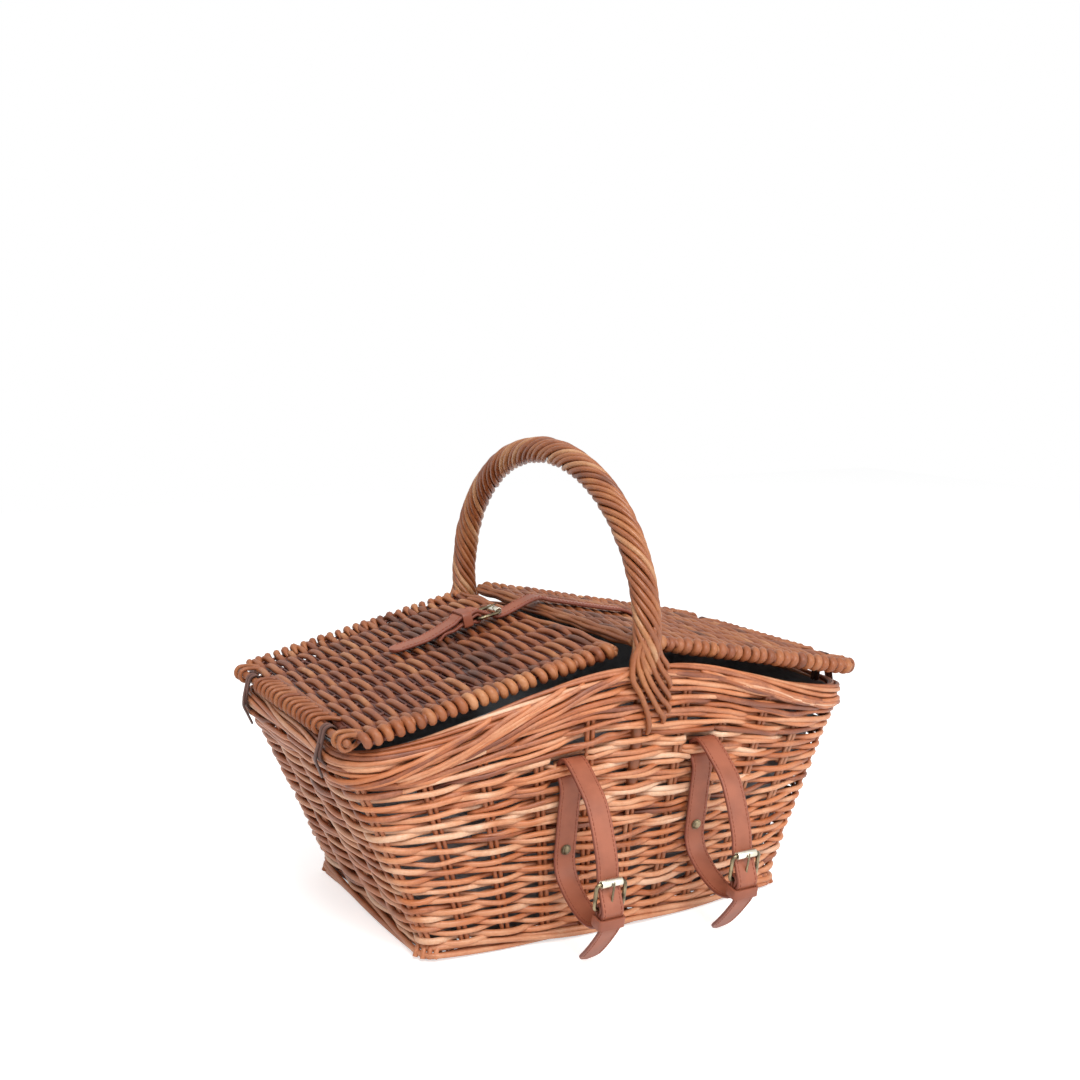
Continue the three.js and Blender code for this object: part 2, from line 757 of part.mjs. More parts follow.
function roundedRect(halfWidth, low, high, corner) {
  const path = new THREE.Path();
  path.absarc(halfWidth - corner, high - corner, corner, 0, Math.PI / 2, false);
  path.absarc(-halfWidth + corner, high - corner, corner, Math.PI / 2, Math.PI, false);
  path.absarc(-halfWidth + corner, low + corner, corner, Math.PI, Math.PI * 1.5, false);
  path.absarc(halfWidth - corner, low + corner, corner, Math.PI * 1.5, Math.PI * 2, false);
  return path.getPoints(3);
}

// A leather keeper round the chape's two layers and the strap that lies over them.
function keeperLoop() {
  const half = strapWidth / 2 + seatGap;
  const low = -layerStep / 2 - halfLeather - seatGap;
  const high = layerStep * 1.5 + halfLeather + seatGap * 3;
  const wall = keeperThickness;
  const shape = new THREE.Shape(roundedRect(half + wall, low - wall, high + wall, wall));
  shape.holes.push(new THREE.Path(roundedRect(half, low, high, 0.6)));
  const geometry = new THREE.ExtrudeGeometry(shape, { depth: keeperLength, bevelEnabled: false });
  return geometry.rotateX(Math.PI / 2).translate(0, keeperLength / 2 - keeperPlace, 0);
}

// Slots that let the prong through the chape's fold and through the strap above it.
function prongSlots() {
  const half = prongSlotWidth / 2;
  const fold = foldRadius + halfLeather + 0.2;
  return [
    block(-half, half, -fold, fold, -fold, fold),
    block(-half, half, -0.4, buckleReach * 0.55, 0.8, billetOverHeel + halfLeather + 0.4),
  ];
}

// The chape's fold round the heel bar, from the layer against the wall to its sewn end.
function chapeFold(place) {
  const points = [place(-keeperEnd - 1, -layerStep / 2), place(-keeperPlace + 3, -layerStep / 2)];
  for (let degrees = 270; degrees >= 90; degrees -= 30) {
    const angle = THREE.MathUtils.degToRad(degrees);
    points.push(place(-foldRadius * Math.cos(angle), foldRadius * Math.sin(angle)));
  }
  points.push(place(-keeperPlace + 3, layerStep / 2), place(-keeperPlace - 3.5, layerStep / 2));
  return points;
}

// The strap over the heel bar and under the roller, starting past the keeper.
function billetThroughBuckle(place) {
  const overKeeper = layerStep * 1.5 + seatGap;
  return [
    place(-keeperEnd - 1, overKeeper),
    place(-keeperPlace + 3, overKeeper),
    place(0, billetOverHeel),
    place(buckleReach * 0.5, lerp(billetOverHeel, -billetUnderRoller, 0.5)),
    place(buckleReach, -billetUnderRoller),
  ];
}

function placeBuckle(prefix, matrix, parts) {
  for (const [part, geometry, material] of parts) {
    add(`${prefix}_${part}`, geometry.applyMatrix4(matrix), material);
  }
}

function buckleParts() {
  return [
    ['buckle_frame', buckleFrame(), antiqueBrass()],
    ['buckle_roller', buckleRoller(), antiqueBrass()],
    ['buckle_prong', buckleProng(), antiqueBrass()],
    ['keeper', keeperLoop(), leather(tan)],
  ];
}

// Front straps. Their plane has X outwards from the wall and Y up.
const outwardPlane = new THREE.Matrix4().makeBasis(
  new THREE.Vector3(0, -1, 0),
  new THREE.Vector3(0, 0, 1),
  new THREE.Vector3(-1, 0, 0),
);

function wallTilt(x) {
  const low = wallFaceAt(x, strapSlotHeight - 10);
  return Math.atan2(wallFaceAt(x, strapSlotHeight + 10) - low, 20);
}

// Matrix of a frame on the outside of the wall: X along the wall, Y up it, Z outwards.
function wallFrame(x, z) {
  const frame = new THREE.Matrix4().makeRotationX(Math.PI / 2 + wallTilt(x));
  return frame.setPosition(x, -wallFaceAt(x, z), z);
}

function strapWindow(x) {
  const half = strapWidth / 2 + seatGap * 2;
  const tall = strapSlotTall / 2;
  const bridge = strapBridgeTall / 2;
  const deep = wallThickness * 2;
  const opening = block(-half, half, -tall, tall, -deep, deep);
  const weavers = block(-half - 5, half + 5, -bridge, bridge, -strapBridgeDeep, deep * 2);
  return cut(opening, [weavers]).applyMatrix4(wallFrame(x, strapSlotHeight));
}

// A notch in the top edge of the wall where a thong passes under the rim.
function thongPass(side, y) {
  const half = thongWidth / 2 + seatGap;
  const reach = rimRoll / 2 + runGap + thongThickness + 3;
  const low = rimEndHeight - rimRoll - runGap - thongThickness - seatGap * 2;
  const x = side * lidHingeX;
  return block(x - reach, x + reach, y - half, y + half, low, rimEndHeight);
}

function rivetHole(x) {
  const diameter = rivetShankDiameter + seatGap * 2;
  const hole = new THREE.CylinderGeometry(diameter / 2, diameter / 2, 40, 10);
  return hole.rotateX(Math.PI / 2).applyMatrix4(wallFrame(x, rivetHeight));
}

function buckleSpot(x) {
  return new THREE.Vector2(wallFaceAt(x, buckleHeelHeight) + buckleStandOff, buckleHeelHeight);
}

// The wall bows, so the strap lies on it along the edge that is nearer the middle.
function wallUnderStrap(x, z) {
  return wallFaceAt(Math.abs(x) - strapWidth / 2, z);
}

function frontStrap(x) {
  const heel = buckleSpot(x);
  const sin = Math.sin(buckleLean);
  const cos = Math.cos(buckleLean);
  const place = (p, q) => new THREE.Vector2(heel.x + q * cos + p * sin, heel.y - q * sin + p * cos);
  const tilt = wallTilt(x);
  const slot = new THREE.Vector2(wallUnderStrap(x, strapSlotHeight), strapSlotHeight);
  const atSlot = (out, up) => new THREE.Vector2(
    slot.x + out * Math.cos(tilt) + up * Math.sin(tilt),
    slot.y - out * Math.sin(tilt) + up * Math.cos(tilt),
  );
  const lie = strapLie;
  const onWall = (z, lift = 0) => new THREE.Vector2(wallUnderStrap(x, z) + lie + lift, z);
  const behind = -strapBridgeDeep - lie - slotTurn.clear;
  const offHeel = ([out, up]) => new THREE.Vector2(heel.x + out, heel.y + up);
  const edge = strapBridgeTall / 2;
  const route = [
    ...strapTail.map(offHeel),
    ...billetThroughBuckle(place),
    ...strapFall.map(offHeel),
    atSlot(slotTurn.near, edge + slotTurn.rise),
    atSlot(-slotTurn.deep, edge + slotTurn.near),
    atSlot(behind, edge + slotTurn.far),
    atSlot(behind, -edge - slotTurn.far),
    atSlot(-slotTurn.deep, -edge - slotTurn.near),
    atSlot(lie, -edge - slotTurn.leave),
    onWall(lerp(rivetHeight, strapSlotHeight, 0.535)),
    onWall(rivetHeight + rivetReach),
    onWall(rivetHeight - rivetReach, seatGap * 2),
    ...strapReturn.map(offHeel),
    ...chapeFold(place),
  ];
  const toWorld = outwardPlane.clone().setPosition(x, 0, 0);
  const matrix = buckleMatrix(x);
  const slots = prongSlots().map((slotBlock) => slotBlock.applyMatrix4(matrix));
  return cut(strip(route).applyMatrix4(toWorld), [...slots, rivetHole(x)]);
}

function buckleMatrix(x) {
  const heel = buckleSpot(x);
  const sin = Math.sin(buckleLean);
  const cos = Math.cos(buckleLean);
  const matrix = new THREE.Matrix4().makeBasis(
    new THREE.Vector3(1, 0, 0),
    new THREE.Vector3(0, -sin, cos),
    new THREE.Vector3(0, -cos, -sin),
  );
  return matrix.setPosition(x, -heel.x, heel.y);
}

// A domed head on the strap, a shank through the wall and a clenched end inside.
function strapRivet(x) {
  const stand = wallUnderStrap(x, rivetHeight) - wallFaceAt(x, rivetHeight);
  const face = stand + strapLie + halfLeather + seatGap;
  const inner = -wallThickness - seatGap;
  const head = rivetHeadDiameter / 2;
  const shank = rivetShankDiameter / 2;
  const profile = [
    [0, inner - 1.2], [head * 0.85, inner - 1.2], [head * 0.85, inner], [shank, inner],
    [shank, face], [head, face], [head * 0.6, face + 1.5], [0, face + 1.9],
  ];
  const geometry = new THREE.LatheGeometry(profile.map(([r, h]) => new THREE.Vector2(r, h)), 12);
  return geometry.rotateX(Math.PI / 2).applyMatrix4(wallFrame(x, rivetHeight));
}

// Lid strap. Its plane has X along the basket and Y up, at one place across the lids.
const lengthPlane = new THREE.Matrix4().makeBasis(
  new THREE.Vector3(1, 0, 0),
  new THREE.Vector3(0, 0, 1),
  new THREE.Vector3(0, -1, 0),
).setPosition(0, lidStrapY, 0);

function lidTopAt(lid, x) {
  const slope = lidSlope(lid);
  const rise = Math.tan(slope) * (lidHingeX - Math.abs(x));
  return hingeHeight(lid) + rise + lidThickness / 2 / Math.cos(slope);
}

const buckleLift = billetUnderRoller + halfLeather + seatGap;

function lidBucklePlace(p, q) {
  const slope = lidSlope(lids.left);
  const foot = new THREE.Vector2(lidBuckleX, lidTopAt(lids.left, lidBuckleX));
  const lift = buckleLift + q;
  return new THREE.Vector2(
    foot.x + p * Math.cos(slope) - lift * Math.sin(slope),
    foot.y + p * Math.sin(slope) + lift * Math.cos(slope),
  );
}

function lidBuckleMatrix() {
  const slope = lidSlope(lids.left);
  const heel = lidBucklePlace(0, 0);
  const matrix = new THREE.Matrix4().makeBasis(
    new THREE.Vector3(Math.cos(slope), 0, Math.sin(slope)),
    new THREE.Vector3(-Math.sin(slope), 0, Math.cos(slope)),
    new THREE.Vector3(0, -1, 0),
  );
  const turned = new THREE.Matrix4().makeBasis(
    new THREE.Vector3(0, 0, 1),
    new THREE.Vector3(1, 0, 0),
    new THREE.Vector3(0, 1, 0),
  );
  return matrix.multiply(turned).setPosition(heel.x, lidStrapY, heel.y);
}

function lidChape() {
  const lie = -buckleLift + seatGap + halfLeather;
  const route = [
    lidBucklePlace(-lidChapeEnd, -buckleLift - pocketDepth + 1),
    lidBucklePlace(-lidChapeEnd + 1.5, -buckleLift - 1),
    ...lidChapeRise.map(([along, up]) => lidBucklePlace(along, lie + up)),
    ...chapeFold(lidBucklePlace),
  ];
  const slots = prongSlots().map((slotBlock) => slotBlock.applyMatrix4(lidBuckleMatrix()));
  return cut(strip(route).applyMatrix4(lengthPlane), [slots[0]]);
}

function lidBillet() {
  const lie = -buckleLift + seatGap + halfLeather;
  const onRight = (x, lift) => new THREE.Vector2(x, lidTopAt(lids.right, x) + lift);
  const flat = seatGap + halfLeather + 0.3;
  const route = [
    ...lidStrapTail.map(([along, up]) => lidBucklePlace(along, lie + up)),
    ...billetThroughBuckle(lidBucklePlace),
    onRight(0, flat + seatGap * 2),
    onRight(lids.right.innerX + 6, flat + seatGap),
    onRight(lerp(lids.right.innerX, lidStrapAnchor, 0.33), flat),
    onRight(lerp(lids.right.innerX, lidStrapAnchor, 0.69), flat),
    onRight(lidStrapAnchor - pocketReach, flat + seatGap),
    onRight(lidStrapAnchor - 1.5, -0.6),
    onRight(lidStrapAnchor, -pocketDepth + 1),
  ];
  const slots = prongSlots().map((slotBlock) => slotBlock.applyMatrix4(lidBuckleMatrix()));
  return cut(strip(route).applyMatrix4(lengthPlane), [slots[1]]);
}

// A pocket in a lid's top where the end of a strap goes down between the weavers.
function strapPocket(lid, worldX, y) {
  const u = (lidHingeX - Math.abs(worldX)) / Math.cos(lidSlope(lid));
  const half = strapWidth / 2 + seatGap * 2;
  const top = lidThickness / 2;
  return block(u - pocketReach, u + pocketReach, y - half, y + half, top - pocketDepth, top * 2);
}

// Assembly
function buildTub() {
  const handle = handleCurve();
  const groove = rod(handle, handleCoreDiameter + seatGap * 2, 8, 36);
  const places = Object.values(strapPlaces);
  add('base_panel', basePanel(), rattan(umber));
  add('foot_border', footBorder(), rattan(caramel));
  const passes = [-1, 1].flatMap((side) => [thongPass(side, -thongY), thongPass(side, thongY)]);
  const openings = [groove, ...passes, ...places.map(strapWindow), ...places.map(rivetHole)];
  add('wall_weave', cut(wallShell(), openings), rattan(honey));
  crossStakeShares.forEach((share, i) => add(`cross_stake_${i + 1}`, crossStake(share), rattan(caramel)));
  lengthStakeShares.forEach((share, i) => add(`length_stake_${i + 1}`, lengthStake(share), rattan(caramel)));
  add('liner', linerCup(), linerCloth());
  add('rim_roll_left', rimRollHalf(-1), rattan(honey));
  add('rim_roll_right', rimRollHalf(1), rattan(honey));
  add('handle_core', rod(handle, handleCoreDiameter, 8, 36), rattan(umber));
  add('handle_wrap', handleWrap(handle), rattan(caramel));
  add('handle_foot_front', handleFoot(-1), rattan(caramel));
  add('handle_foot_back', handleFoot(1), rattan(caramel));
}

function buildFrontStraps() {
  for (const [side, x] of Object.entries(strapPlaces)) {
    add(`front_strap_${side}`, frontStrap(x), leather(tan));
    placeBuckle(`front_${side}`, buckleMatrix(x), buckleParts());
    add(`front_${side}_rivet`, strapRivet(x), antiqueBrass());
  }
}

function buildLids() {
  const pockets = {
    left: strapPocket(lids.left, lidBucklePlace(-lidChapeEnd, -buckleLift).x, lidStrapY),
    right: strapPocket(lids.right, lidStrapAnchor, -lidStrapY),
  };
  for (const [side, lid] of Object.entries(lids)) {
    const turned = side === 'right';
    const frame = lidFrame(lid, turned);
    add(`${side}_lid_panel`, lidPanel(lid, pockets[side]), rattan(umber), frame);
    add(`${side}_lid_hinge_stick`, hingeStick(), rattan(caramel), frame);
    for (let i = 0; i < lidStickCount; i++) {
      add(`${side}_lid_stick_${i + 1}`, lidStick(lid, i), rattan(caramel), frame);
    }
    for (const [end, y] of [['front', -thongY], ['back', thongY]]) {
      const thong = add(`${side}_hinge_thong_${end}`, thongLoop(lid), leather(chocolate));
      thong.position.set(turned ? lidHingeX : -lidHingeX, y, 0);
    }
  }
}

function buildLidStrap() {
  add('lid_strap_chape', lidChape(), leather(tan));
  add('lid_strap_billet', lidBillet(), leather(tan));
  placeBuckle('lid_strap', lidBuckleMatrix(), buckleParts());
}

buildTub();
buildFrontStraps();
buildLids();
buildLidStrap();

export default basket;
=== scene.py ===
# Woven picnic basket: canes, leather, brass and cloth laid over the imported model
# Metres in the scene, millimetres in the settings. +Z up, the straps are on -Y.
import bpy
import math
import numpy as np
from mathutils import Matrix, Vector


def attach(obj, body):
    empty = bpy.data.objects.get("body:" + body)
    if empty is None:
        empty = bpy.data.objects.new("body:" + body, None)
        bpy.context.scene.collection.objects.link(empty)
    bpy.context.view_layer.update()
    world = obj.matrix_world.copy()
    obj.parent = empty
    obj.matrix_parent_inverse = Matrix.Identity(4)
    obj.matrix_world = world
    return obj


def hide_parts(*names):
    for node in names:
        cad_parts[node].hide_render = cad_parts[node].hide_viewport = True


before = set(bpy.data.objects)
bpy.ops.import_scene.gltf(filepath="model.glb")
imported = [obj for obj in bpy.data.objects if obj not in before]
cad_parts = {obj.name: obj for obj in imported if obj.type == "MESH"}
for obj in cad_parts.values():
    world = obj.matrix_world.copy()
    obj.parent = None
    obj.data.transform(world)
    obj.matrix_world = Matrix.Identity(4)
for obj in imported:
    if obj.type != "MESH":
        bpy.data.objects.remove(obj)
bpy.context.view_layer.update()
dice = np.random.default_rng(41)
mm = 0.001
print("frame loaded")


# Materials
def linear(colour):
    parts = [int(colour[i:i + 2], 16) / 255 for i in (1, 3, 5)]
    return [c / 12.92 if c <= 0.04045 else ((c + 0.055) / 1.055) ** 2.4 for c in parts] + [1.0]


def addNode(tree, kind, settings, out=0):
    # a setting is a ramp's stops, a property, a link from another node or a plain value
    node = tree.nodes.new("ShaderNode" + kind)
    for key, value in settings.items():
        if key == "stops":
            for i, (place, colour) in enumerate(value):
                stop = node.color_ramp.elements[i] if i < 2 else node.color_ramp.elements.new(place)
                stop.position = place
                stop.color = linear(colour)
        elif isinstance(key, str) and hasattr(node, key):
            setattr(node, key, value)
        elif isinstance(value, bpy.types.NodeSocket):
            tree.links.new(value, node.inputs[key])
        else:
            node.inputs[key].default_value = value
    return node.outputs[out] if node.outputs else node


def trait(tree, key):
    return addNode(tree, "Attribute", {"attribute_name": key}, "Fac")


def noise(tree, place, scale, detail, roughness=0.5):
    settings = {"Scale": scale, "Detail": detail, "Roughness": roughness, "Vector": place}
    return addNode(tree, "TexNoise", settings, "Fac")


def sums(tree, operation, *values):
    return addNode(tree, "Math", {"operation": operation, **dict(enumerate(values))})


def shades(tree, share, stops):
    return addNode(tree, "ValToRGB", {"stops": stops, "Fac": share})


def blend(tree, share, under, colour, way="MIX"):
    settings = {"data_type": "RGBA", "blend_type": way, 0: share, 6: under, 7: linear(colour)}
    return addNode(tree, "Mix", settings, 2)


def spanned(tree, value, low, high):
    return addNode(tree, "MapRange", {"To Min": low, "To Max": high, "Value": value})


def relief(tree, height, strength, distance):
    return addNode(tree, "Bump", {"Strength": strength, "Distance": distance, "Height": height})


def clearTree(holder):
    holder.use_nodes = True
    holder.node_tree.nodes.clear()
    return holder.node_tree


def newMaterial(name):
    material = bpy.data.materials.new(name)
    return material, clearTree(material)


def atPlace(tree):
    return addNode(tree, "TexCoord", {}, "Object")


def cover(material, settings):
    surface = addNode(material.node_tree, "BsdfPrincipled", settings)
    addNode(material.node_tree, "OutputMaterial", {"Surface": surface})
    return material


# Peeled willow, boiled in its bark and thinly varnished: each rod has its own shade from fox red to straw,
# mottled along its length, with painted shade (brown darkening where a rod lies deep in the weave) and a soft
# shine on the crowns.
def willow(name, stops, paintedShadeColour, flush, shine):
    material, tree = newMaterial(name)
    place = atPlace(tree)
    tone = trait(tree, "tone")
    blotch = noise(tree, place, 45.0, 3.0)  # 22 mm
    fleck = noise(tree, place, 420.0, 4.0, 0.7)  # 2.4 mm
    blotched = sums(tree, "ADD", tone, sums(tree, "MULTIPLY_ADD", blotch, 0.7, -0.35))
    flecked = sums(tree, "ADD", blotched, sums(tree, "MULTIPLY_ADD", fleck, 0.5, -0.25))
    # each rod has its own warmth
    warmth = sums(tree, "MULTIPLY", sums(tree, "PINGPONG", tone, 0.14), 3.6)
    warmed = blend(tree, warmth, shades(tree, flecked, stops), flush)
    return cover(material, {
        # painted shade: the colour is multiplied towards a dark brown by each rod's deep value
        "Base Color": blend(tree, trait(tree, "deep"), warmed, paintedShadeColour, "MULTIPLY"),
        "Roughness": spanned(tree, fleck, shine - 0.08, shine + 0.14),
        "Normal": relief(tree, fleck, 0.25, 0.0004),
        "IOR": 1.5, "Coat Weight": 0.12, "Coat Roughness": 0.25,
    })


# Bridle leather, dyed tan and waxed: fine grain, a broken sheen, darker painted edges.
def hide(name, body, dark, edge, roughness):
    material, tree = newMaterial(name)
    place = atPlace(tree)
    cloud = noise(tree, place, 60.0, 4.0)  # 17 mm
    pore = addNode(tree, "TexVoronoi", {"Scale": 750.0, "Vector": place}, "Distance")  # 1.3 mm
    dyed = shades(tree, cloud, [(0.3, dark), (0.62, body)])
    return cover(material, {
        "Base Color": blend(tree, trait(tree, "edge"), dyed, edge),
        "Roughness": spanned(tree, cloud, roughness - 0.08, roughness + 0.12),
        "Normal": relief(tree, pore, 0.16, 0.0003),
        "IOR": 1.5,
    })


# Cast brass with an antique finish: pale where it is handled, brown in the pits.
def antiqueBrass(name, dull, bright):
    material, tree = newMaterial(name)
    place = atPlace(tree)
    tarnish = noise(tree, place, 120.0, 3.0)  # 8 mm
    return cover(material, {
        "Base Color": shades(tree, tarnish, [(0.3, dull), (0.66, bright)]),
        "Roughness": spanned(tree, tarnish, 0.36, 0.2),
        "Metallic": 1.0,
    })


# Plain-woven cotton canvas, dyed charcoal but painted a lighter grey as painted light for the light inside
# the basket: dull, with a slight nap and visible threads.
def canvas(name, yarn):
    material, tree = newMaterial(name)
    place = addNode(tree, "UVMap", {"uv_map": "UVMap"})
    scale = 2 * math.pi / (yarn * mm * 20)  # bands per metre as the wave node counts them
    warp, weft = (addNode(tree, "TexWave", {"bands_direction": way, "Scale": scale, "Vector": place}, "Fac")
                  for way in "XY")
    cross = sums(tree, "MULTIPLY", warp, weft)
    faded = sums(tree, "MULTIPLY_ADD", cross, 0.35, noise(tree, place, 18.0, 3.0))
    return cover(material, {
        "Base Color": shades(tree, faded, [(0.3, "#8a8d91"), (0.9, "#a6a9ad")]),
        "Normal": relief(tree, cross, 0.3, 0.0004),
        "Roughness": 0.92, "Sheen Weight": 0.2,
    })


# Waxed polyester thread, matt and a shade redder than the leather.
def thread(name):
    material, tree = newMaterial(name)
    place = atPlace(tree)
    ply = noise(tree, place, 900.0, 2.0)  # 1.1 mm
    twist = shades(tree, ply, [(0.3, "#7a3a28"), (0.7, "#9a543c")])
    return cover(material, {"Base Color": twist, "Roughness": 0.7})


wallStops = [(0.0, "#763f28"), (0.25, "#a86746"), (0.5, "#ca8861"), (0.75, "#d9a580"), (1.0, "#e9c6a8")]
lidStops = [(0.0, "#522a17"), (0.28, "#844729"), (0.55, "#9f5f3a"), (0.8, "#b07449"), (1.0, "#c68d63")]
handleStops = [(0.0, "#4e2816"), (0.28, "#7c4122"), (0.55, "#9c5930"), (0.8, "#b87a4a"), (1.0, "#d4a478")]
finish = {
    "wall": willow("buff willow, varnished", wallStops, "#85452a", "#c0682c", 0.48),
    "lid": willow("brown willow, varnished", lidStops, "#844625", "#96501f", 0.52),
    "handle": willow("round cane, varnished", handleStops, "#5a3420", "#9a5830", 0.4),
    "strap": hide("bridle leather, tan", "#9e5a40", "#8c4d35", "#783b29", 0.5),
    "thong": hide("latigo lace, dark brown", "#6a3c2c", "#4e2a1e", "#3c2016", 0.55),
    "brass": antiqueBrass("antique brass", "#4b4336", "#94866a"),
    "roller": antiqueBrass("brass, worn bright", "#c6c0ac", "#e8e4d6"),
    "cloth": canvas("cotton canvas, charcoal, painted lighter", 1.4),
    "thread": thread("waxed thread"),
}
print("materials made")


# Making pieces
def deselect():
    if bpy.context.object and bpy.context.object.mode != "OBJECT":
        bpy.ops.object.mode_set(mode="OBJECT")
    bpy.ops.object.select_all(action="DESELECT")


def pick(*pieces):
    deselect()
    for piece in pieces:
        piece.select_set(True)
    bpy.context.view_layer.objects.active = pieces[0]


def addPiece(name, data):
    piece = bpy.data.objects.new(name, data)
    bpy.context.scene.collection.objects.link(piece)
    pick(piece)
    return piece


def onAllFaces(operation, **options):
    bpy.ops.object.mode_set(mode="EDIT")
    bpy.ops.mesh.select_all(action="SELECT")
    operation(**options)
    bpy.ops.object.mode_set(mode="OBJECT")


def store(piece, key, values):
    layer = piece.data.attributes.new(key, "FLOAT", "POINT")
    layer.data.foreach_set("value", np.asarray(values, np.float32))


def dress(piece, look, body, *nodes):
    # what the piece is made of, the body that it moves with and the solids that it stands for
    piece.data.materials.clear()
    piece.data.materials.append(finish[look])
    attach(piece, body)
    if nodes:
        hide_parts(*nodes)
    print("made", piece.name, len(piece.data.polygons), "faces")
    return piece


def cane(points, radius, tone, deep=0.0, closed=False, pointed=0.0):
    # one rod: a line of points in mm, with its radius, tone and painted shade (darker down in the weave)
    # along the line
    points = np.asarray(points, float)
    radius, tone, deep = (np.array(np.broadcast_to(v, len(points)), float) for v in (radius, tone, deep))
    if pointed and not closed:
        radius[[0, -1]] *= 1 - pointed
    return {"points": points, "radius": radius, "tone": tone, "deep": deep, "closed": closed}


def bundle(name, canes, sides, look, body, *nodes):
    # bevelled curves, one spline a rod, made a mesh with closed ends
    curve = bpy.data.curves.new(name, "CURVE")
    curve.dimensions = "3D"
    curve.bevel_depth = 1.0  # each point's radius does the rest
    curve.bevel_resolution = (sides - 4) // 2
    for rod in canes:
        spline = curve.splines.new("POLY")
        spline.points.add(len(rod["points"]) - 1)
        spline.points.foreach_set("co", np.c_[rod["points"] * mm, np.ones(len(rod["points"]))].ravel())
        spline.points.foreach_set("radius", rod["radius"] * mm)
        spline.use_cyclic_u = rod["closed"]
    piece = addPiece(name, curve)
    bpy.ops.object.convert(target="MESH")
    onAllFaces(bpy.ops.mesh.fill_holes, sides=0)
    # the tone and the painted shade go onto the mesh as attributes for the material
    for key in ("tone", "deep"):
        store(piece, key, np.repeat(np.concatenate([rod[key] for rod in canes]), sides))
    return dress(piece, look, body, *nodes)


def gridFaces(rows, columns, closed=False):
    # the columns always meet again, the rows only in a closed band
    faces = []
    for row in range(rows if closed else rows - 1):
        here, after = row * columns, (row + 1) % rows * columns
        for i in range(columns):
            j = (i + 1) % columns
            faces.append((here + i, here + j, after + j, after + i))
    return faces


def meshPiece(name, points, faces, inside=False):
    mesh = bpy.data.meshes.new(name)
    mesh.from_pydata([tuple(p) for p in points], [], faces)
    piece = addPiece(name, mesh)
    onAllFaces(bpy.ops.mesh.normals_make_consistent, inside=inside)
    return piece


def triple(x, y, z):
    return np.stack(np.broadcast_arrays(x, y, z), -1)


def between(low, high, share):
    return low + (high - low) * share


def runAlong(line):
    return np.append(0, np.cumsum(np.linalg.norm(np.diff(line, axis=0), axis=1)))


def sampled(places, run, values):
    return np.stack([np.interp(places, run, values[:, k]) for k in range(3)], -1)


def smoothLine(points, steps):
    # centripetal spline through the points, steps to each span, as the part's own curves run
    points = np.asarray(points, float)
    points = np.vstack([2 * points[0] - points[1], points, 2 * points[-1] - points[-2]])
    knot = lambda p, q: max(np.linalg.norm(q - p) ** 0.5, 1e-6)
    out = []
    for a, b, c, d in zip(points, points[1:], points[2:], points[3:]):
        t1 = knot(a, b)
        t2 = t1 + knot(b, c)
        t3 = t2 + knot(c, d)
        for t in np.linspace(t1, t2, steps, endpoint=False):
            ab = a + (b - a) * t / t1
            bc = b + (c - b) * (t - t1) / (t2 - t1)
            cd = c + (d - c) * (t - t2) / (t3 - t2)
            abc = ab + (bc - ab) * t / t2
            bcd = bc + (cd - bc) * (t - t1) / (t3 - t1)
            out.append(abc + (bcd - abc) * (t - t1) / (t2 - t1))
    return np.vstack([out, points[-2]])


def wander(count, amount, waves):
    # a slow seeded wobble along a rod
    along = np.linspace(0, 2 * math.pi, count)
    total = np.zeros(count)
    for wave in range(1, waves + 1):
        total += dice.normal() * np.sin(along * wave + dice.uniform(0, 6.3)) / math.sqrt(wave)
    return amount * total


def tangents(points, closed=False):
    if closed:
        ahead = np.roll(points, -1, 0) - np.roll(points, 1, 0)
    else:
        ahead = np.gradient(points, axis=0)
    return ahead / np.linalg.norm(ahead, axis=1)[:, None]


# twisted rods stray in reach, size and tone, and carry a little painted shade
stray = {"reach": 0.4, "size": 0.03, "tone": 0.05, "deep": 0.1}


def twistBundle(centre, outward, rings, pitch, tones, loose, closed=False):
    # rods that twist together round a centre line; rings lists (count, orbit, radius), loose lets them stray
    along = tangents(centre, closed)
    side = outward - along * np.sum(outward * along, 1)[:, None]
    side /= np.linalg.norm(side, axis=1)[:, None]
    up = np.cross(along, side)
    step = np.linalg.norm(np.diff(centre, axis=0, append=centre[:1] if closed else centre[-1:]), axis=1)
    length = step.sum()
    turns = round(length / pitch) if closed else length / pitch
    run = np.concatenate([[0], np.cumsum(step)[:-1]]) / length * turns * 2 * math.pi
    canes = []
    for count, orbit, radius in rings:
        for i in range(count):
            angle = run + i * 2 * math.pi / count + wander(len(run), loose, 5)
            reach = orbit * (1 + wander(len(run), stray["reach"] * loose, 6))
            path = centre + reach[:, None] * (np.cos(angle)[:, None] * side + np.sin(angle)[:, None] * up)
            size = radius * (1 + wander(len(path), stray["size"], 3))
            shade = dice.normal(*tones) + wander(len(path), stray["tone"], 4)
            canes.append(cane(path, size, shade, stray["deep"], closed))
    return canes


# Tub
tub = {
    "rimLength": 460, "rimEndWidth": 242, "rimMidWidth": 314, "rimCorner": 34, "rimEndHeight": 171,
    "rimMidHeight": 217, "baseLength": 330, "baseEndWidth": 222, "baseMidWidth": 252, "baseCorner": 18,
    "leastCorner": 6, "bowPower": 1.6, "footHeight": 12, "wallDrop": 14.05, "rimRoll": 13, "rimSetIn": 5.5,
    "sideShare": 0.62, "cornerShare": 0.12,  # how a quarter of the outline is shared out
}
cornerPlace = tub["sideShare"] + tub["cornerShare"] / 2


def rimHeightAt(x):
    share = np.minimum(1, np.abs(x) / (tub["rimLength"] / 2))
    rise = tub["rimMidHeight"] - tub["rimEndHeight"]
    return tub["rimEndHeight"] + rise * np.cos(share * math.pi / 2) ** 2


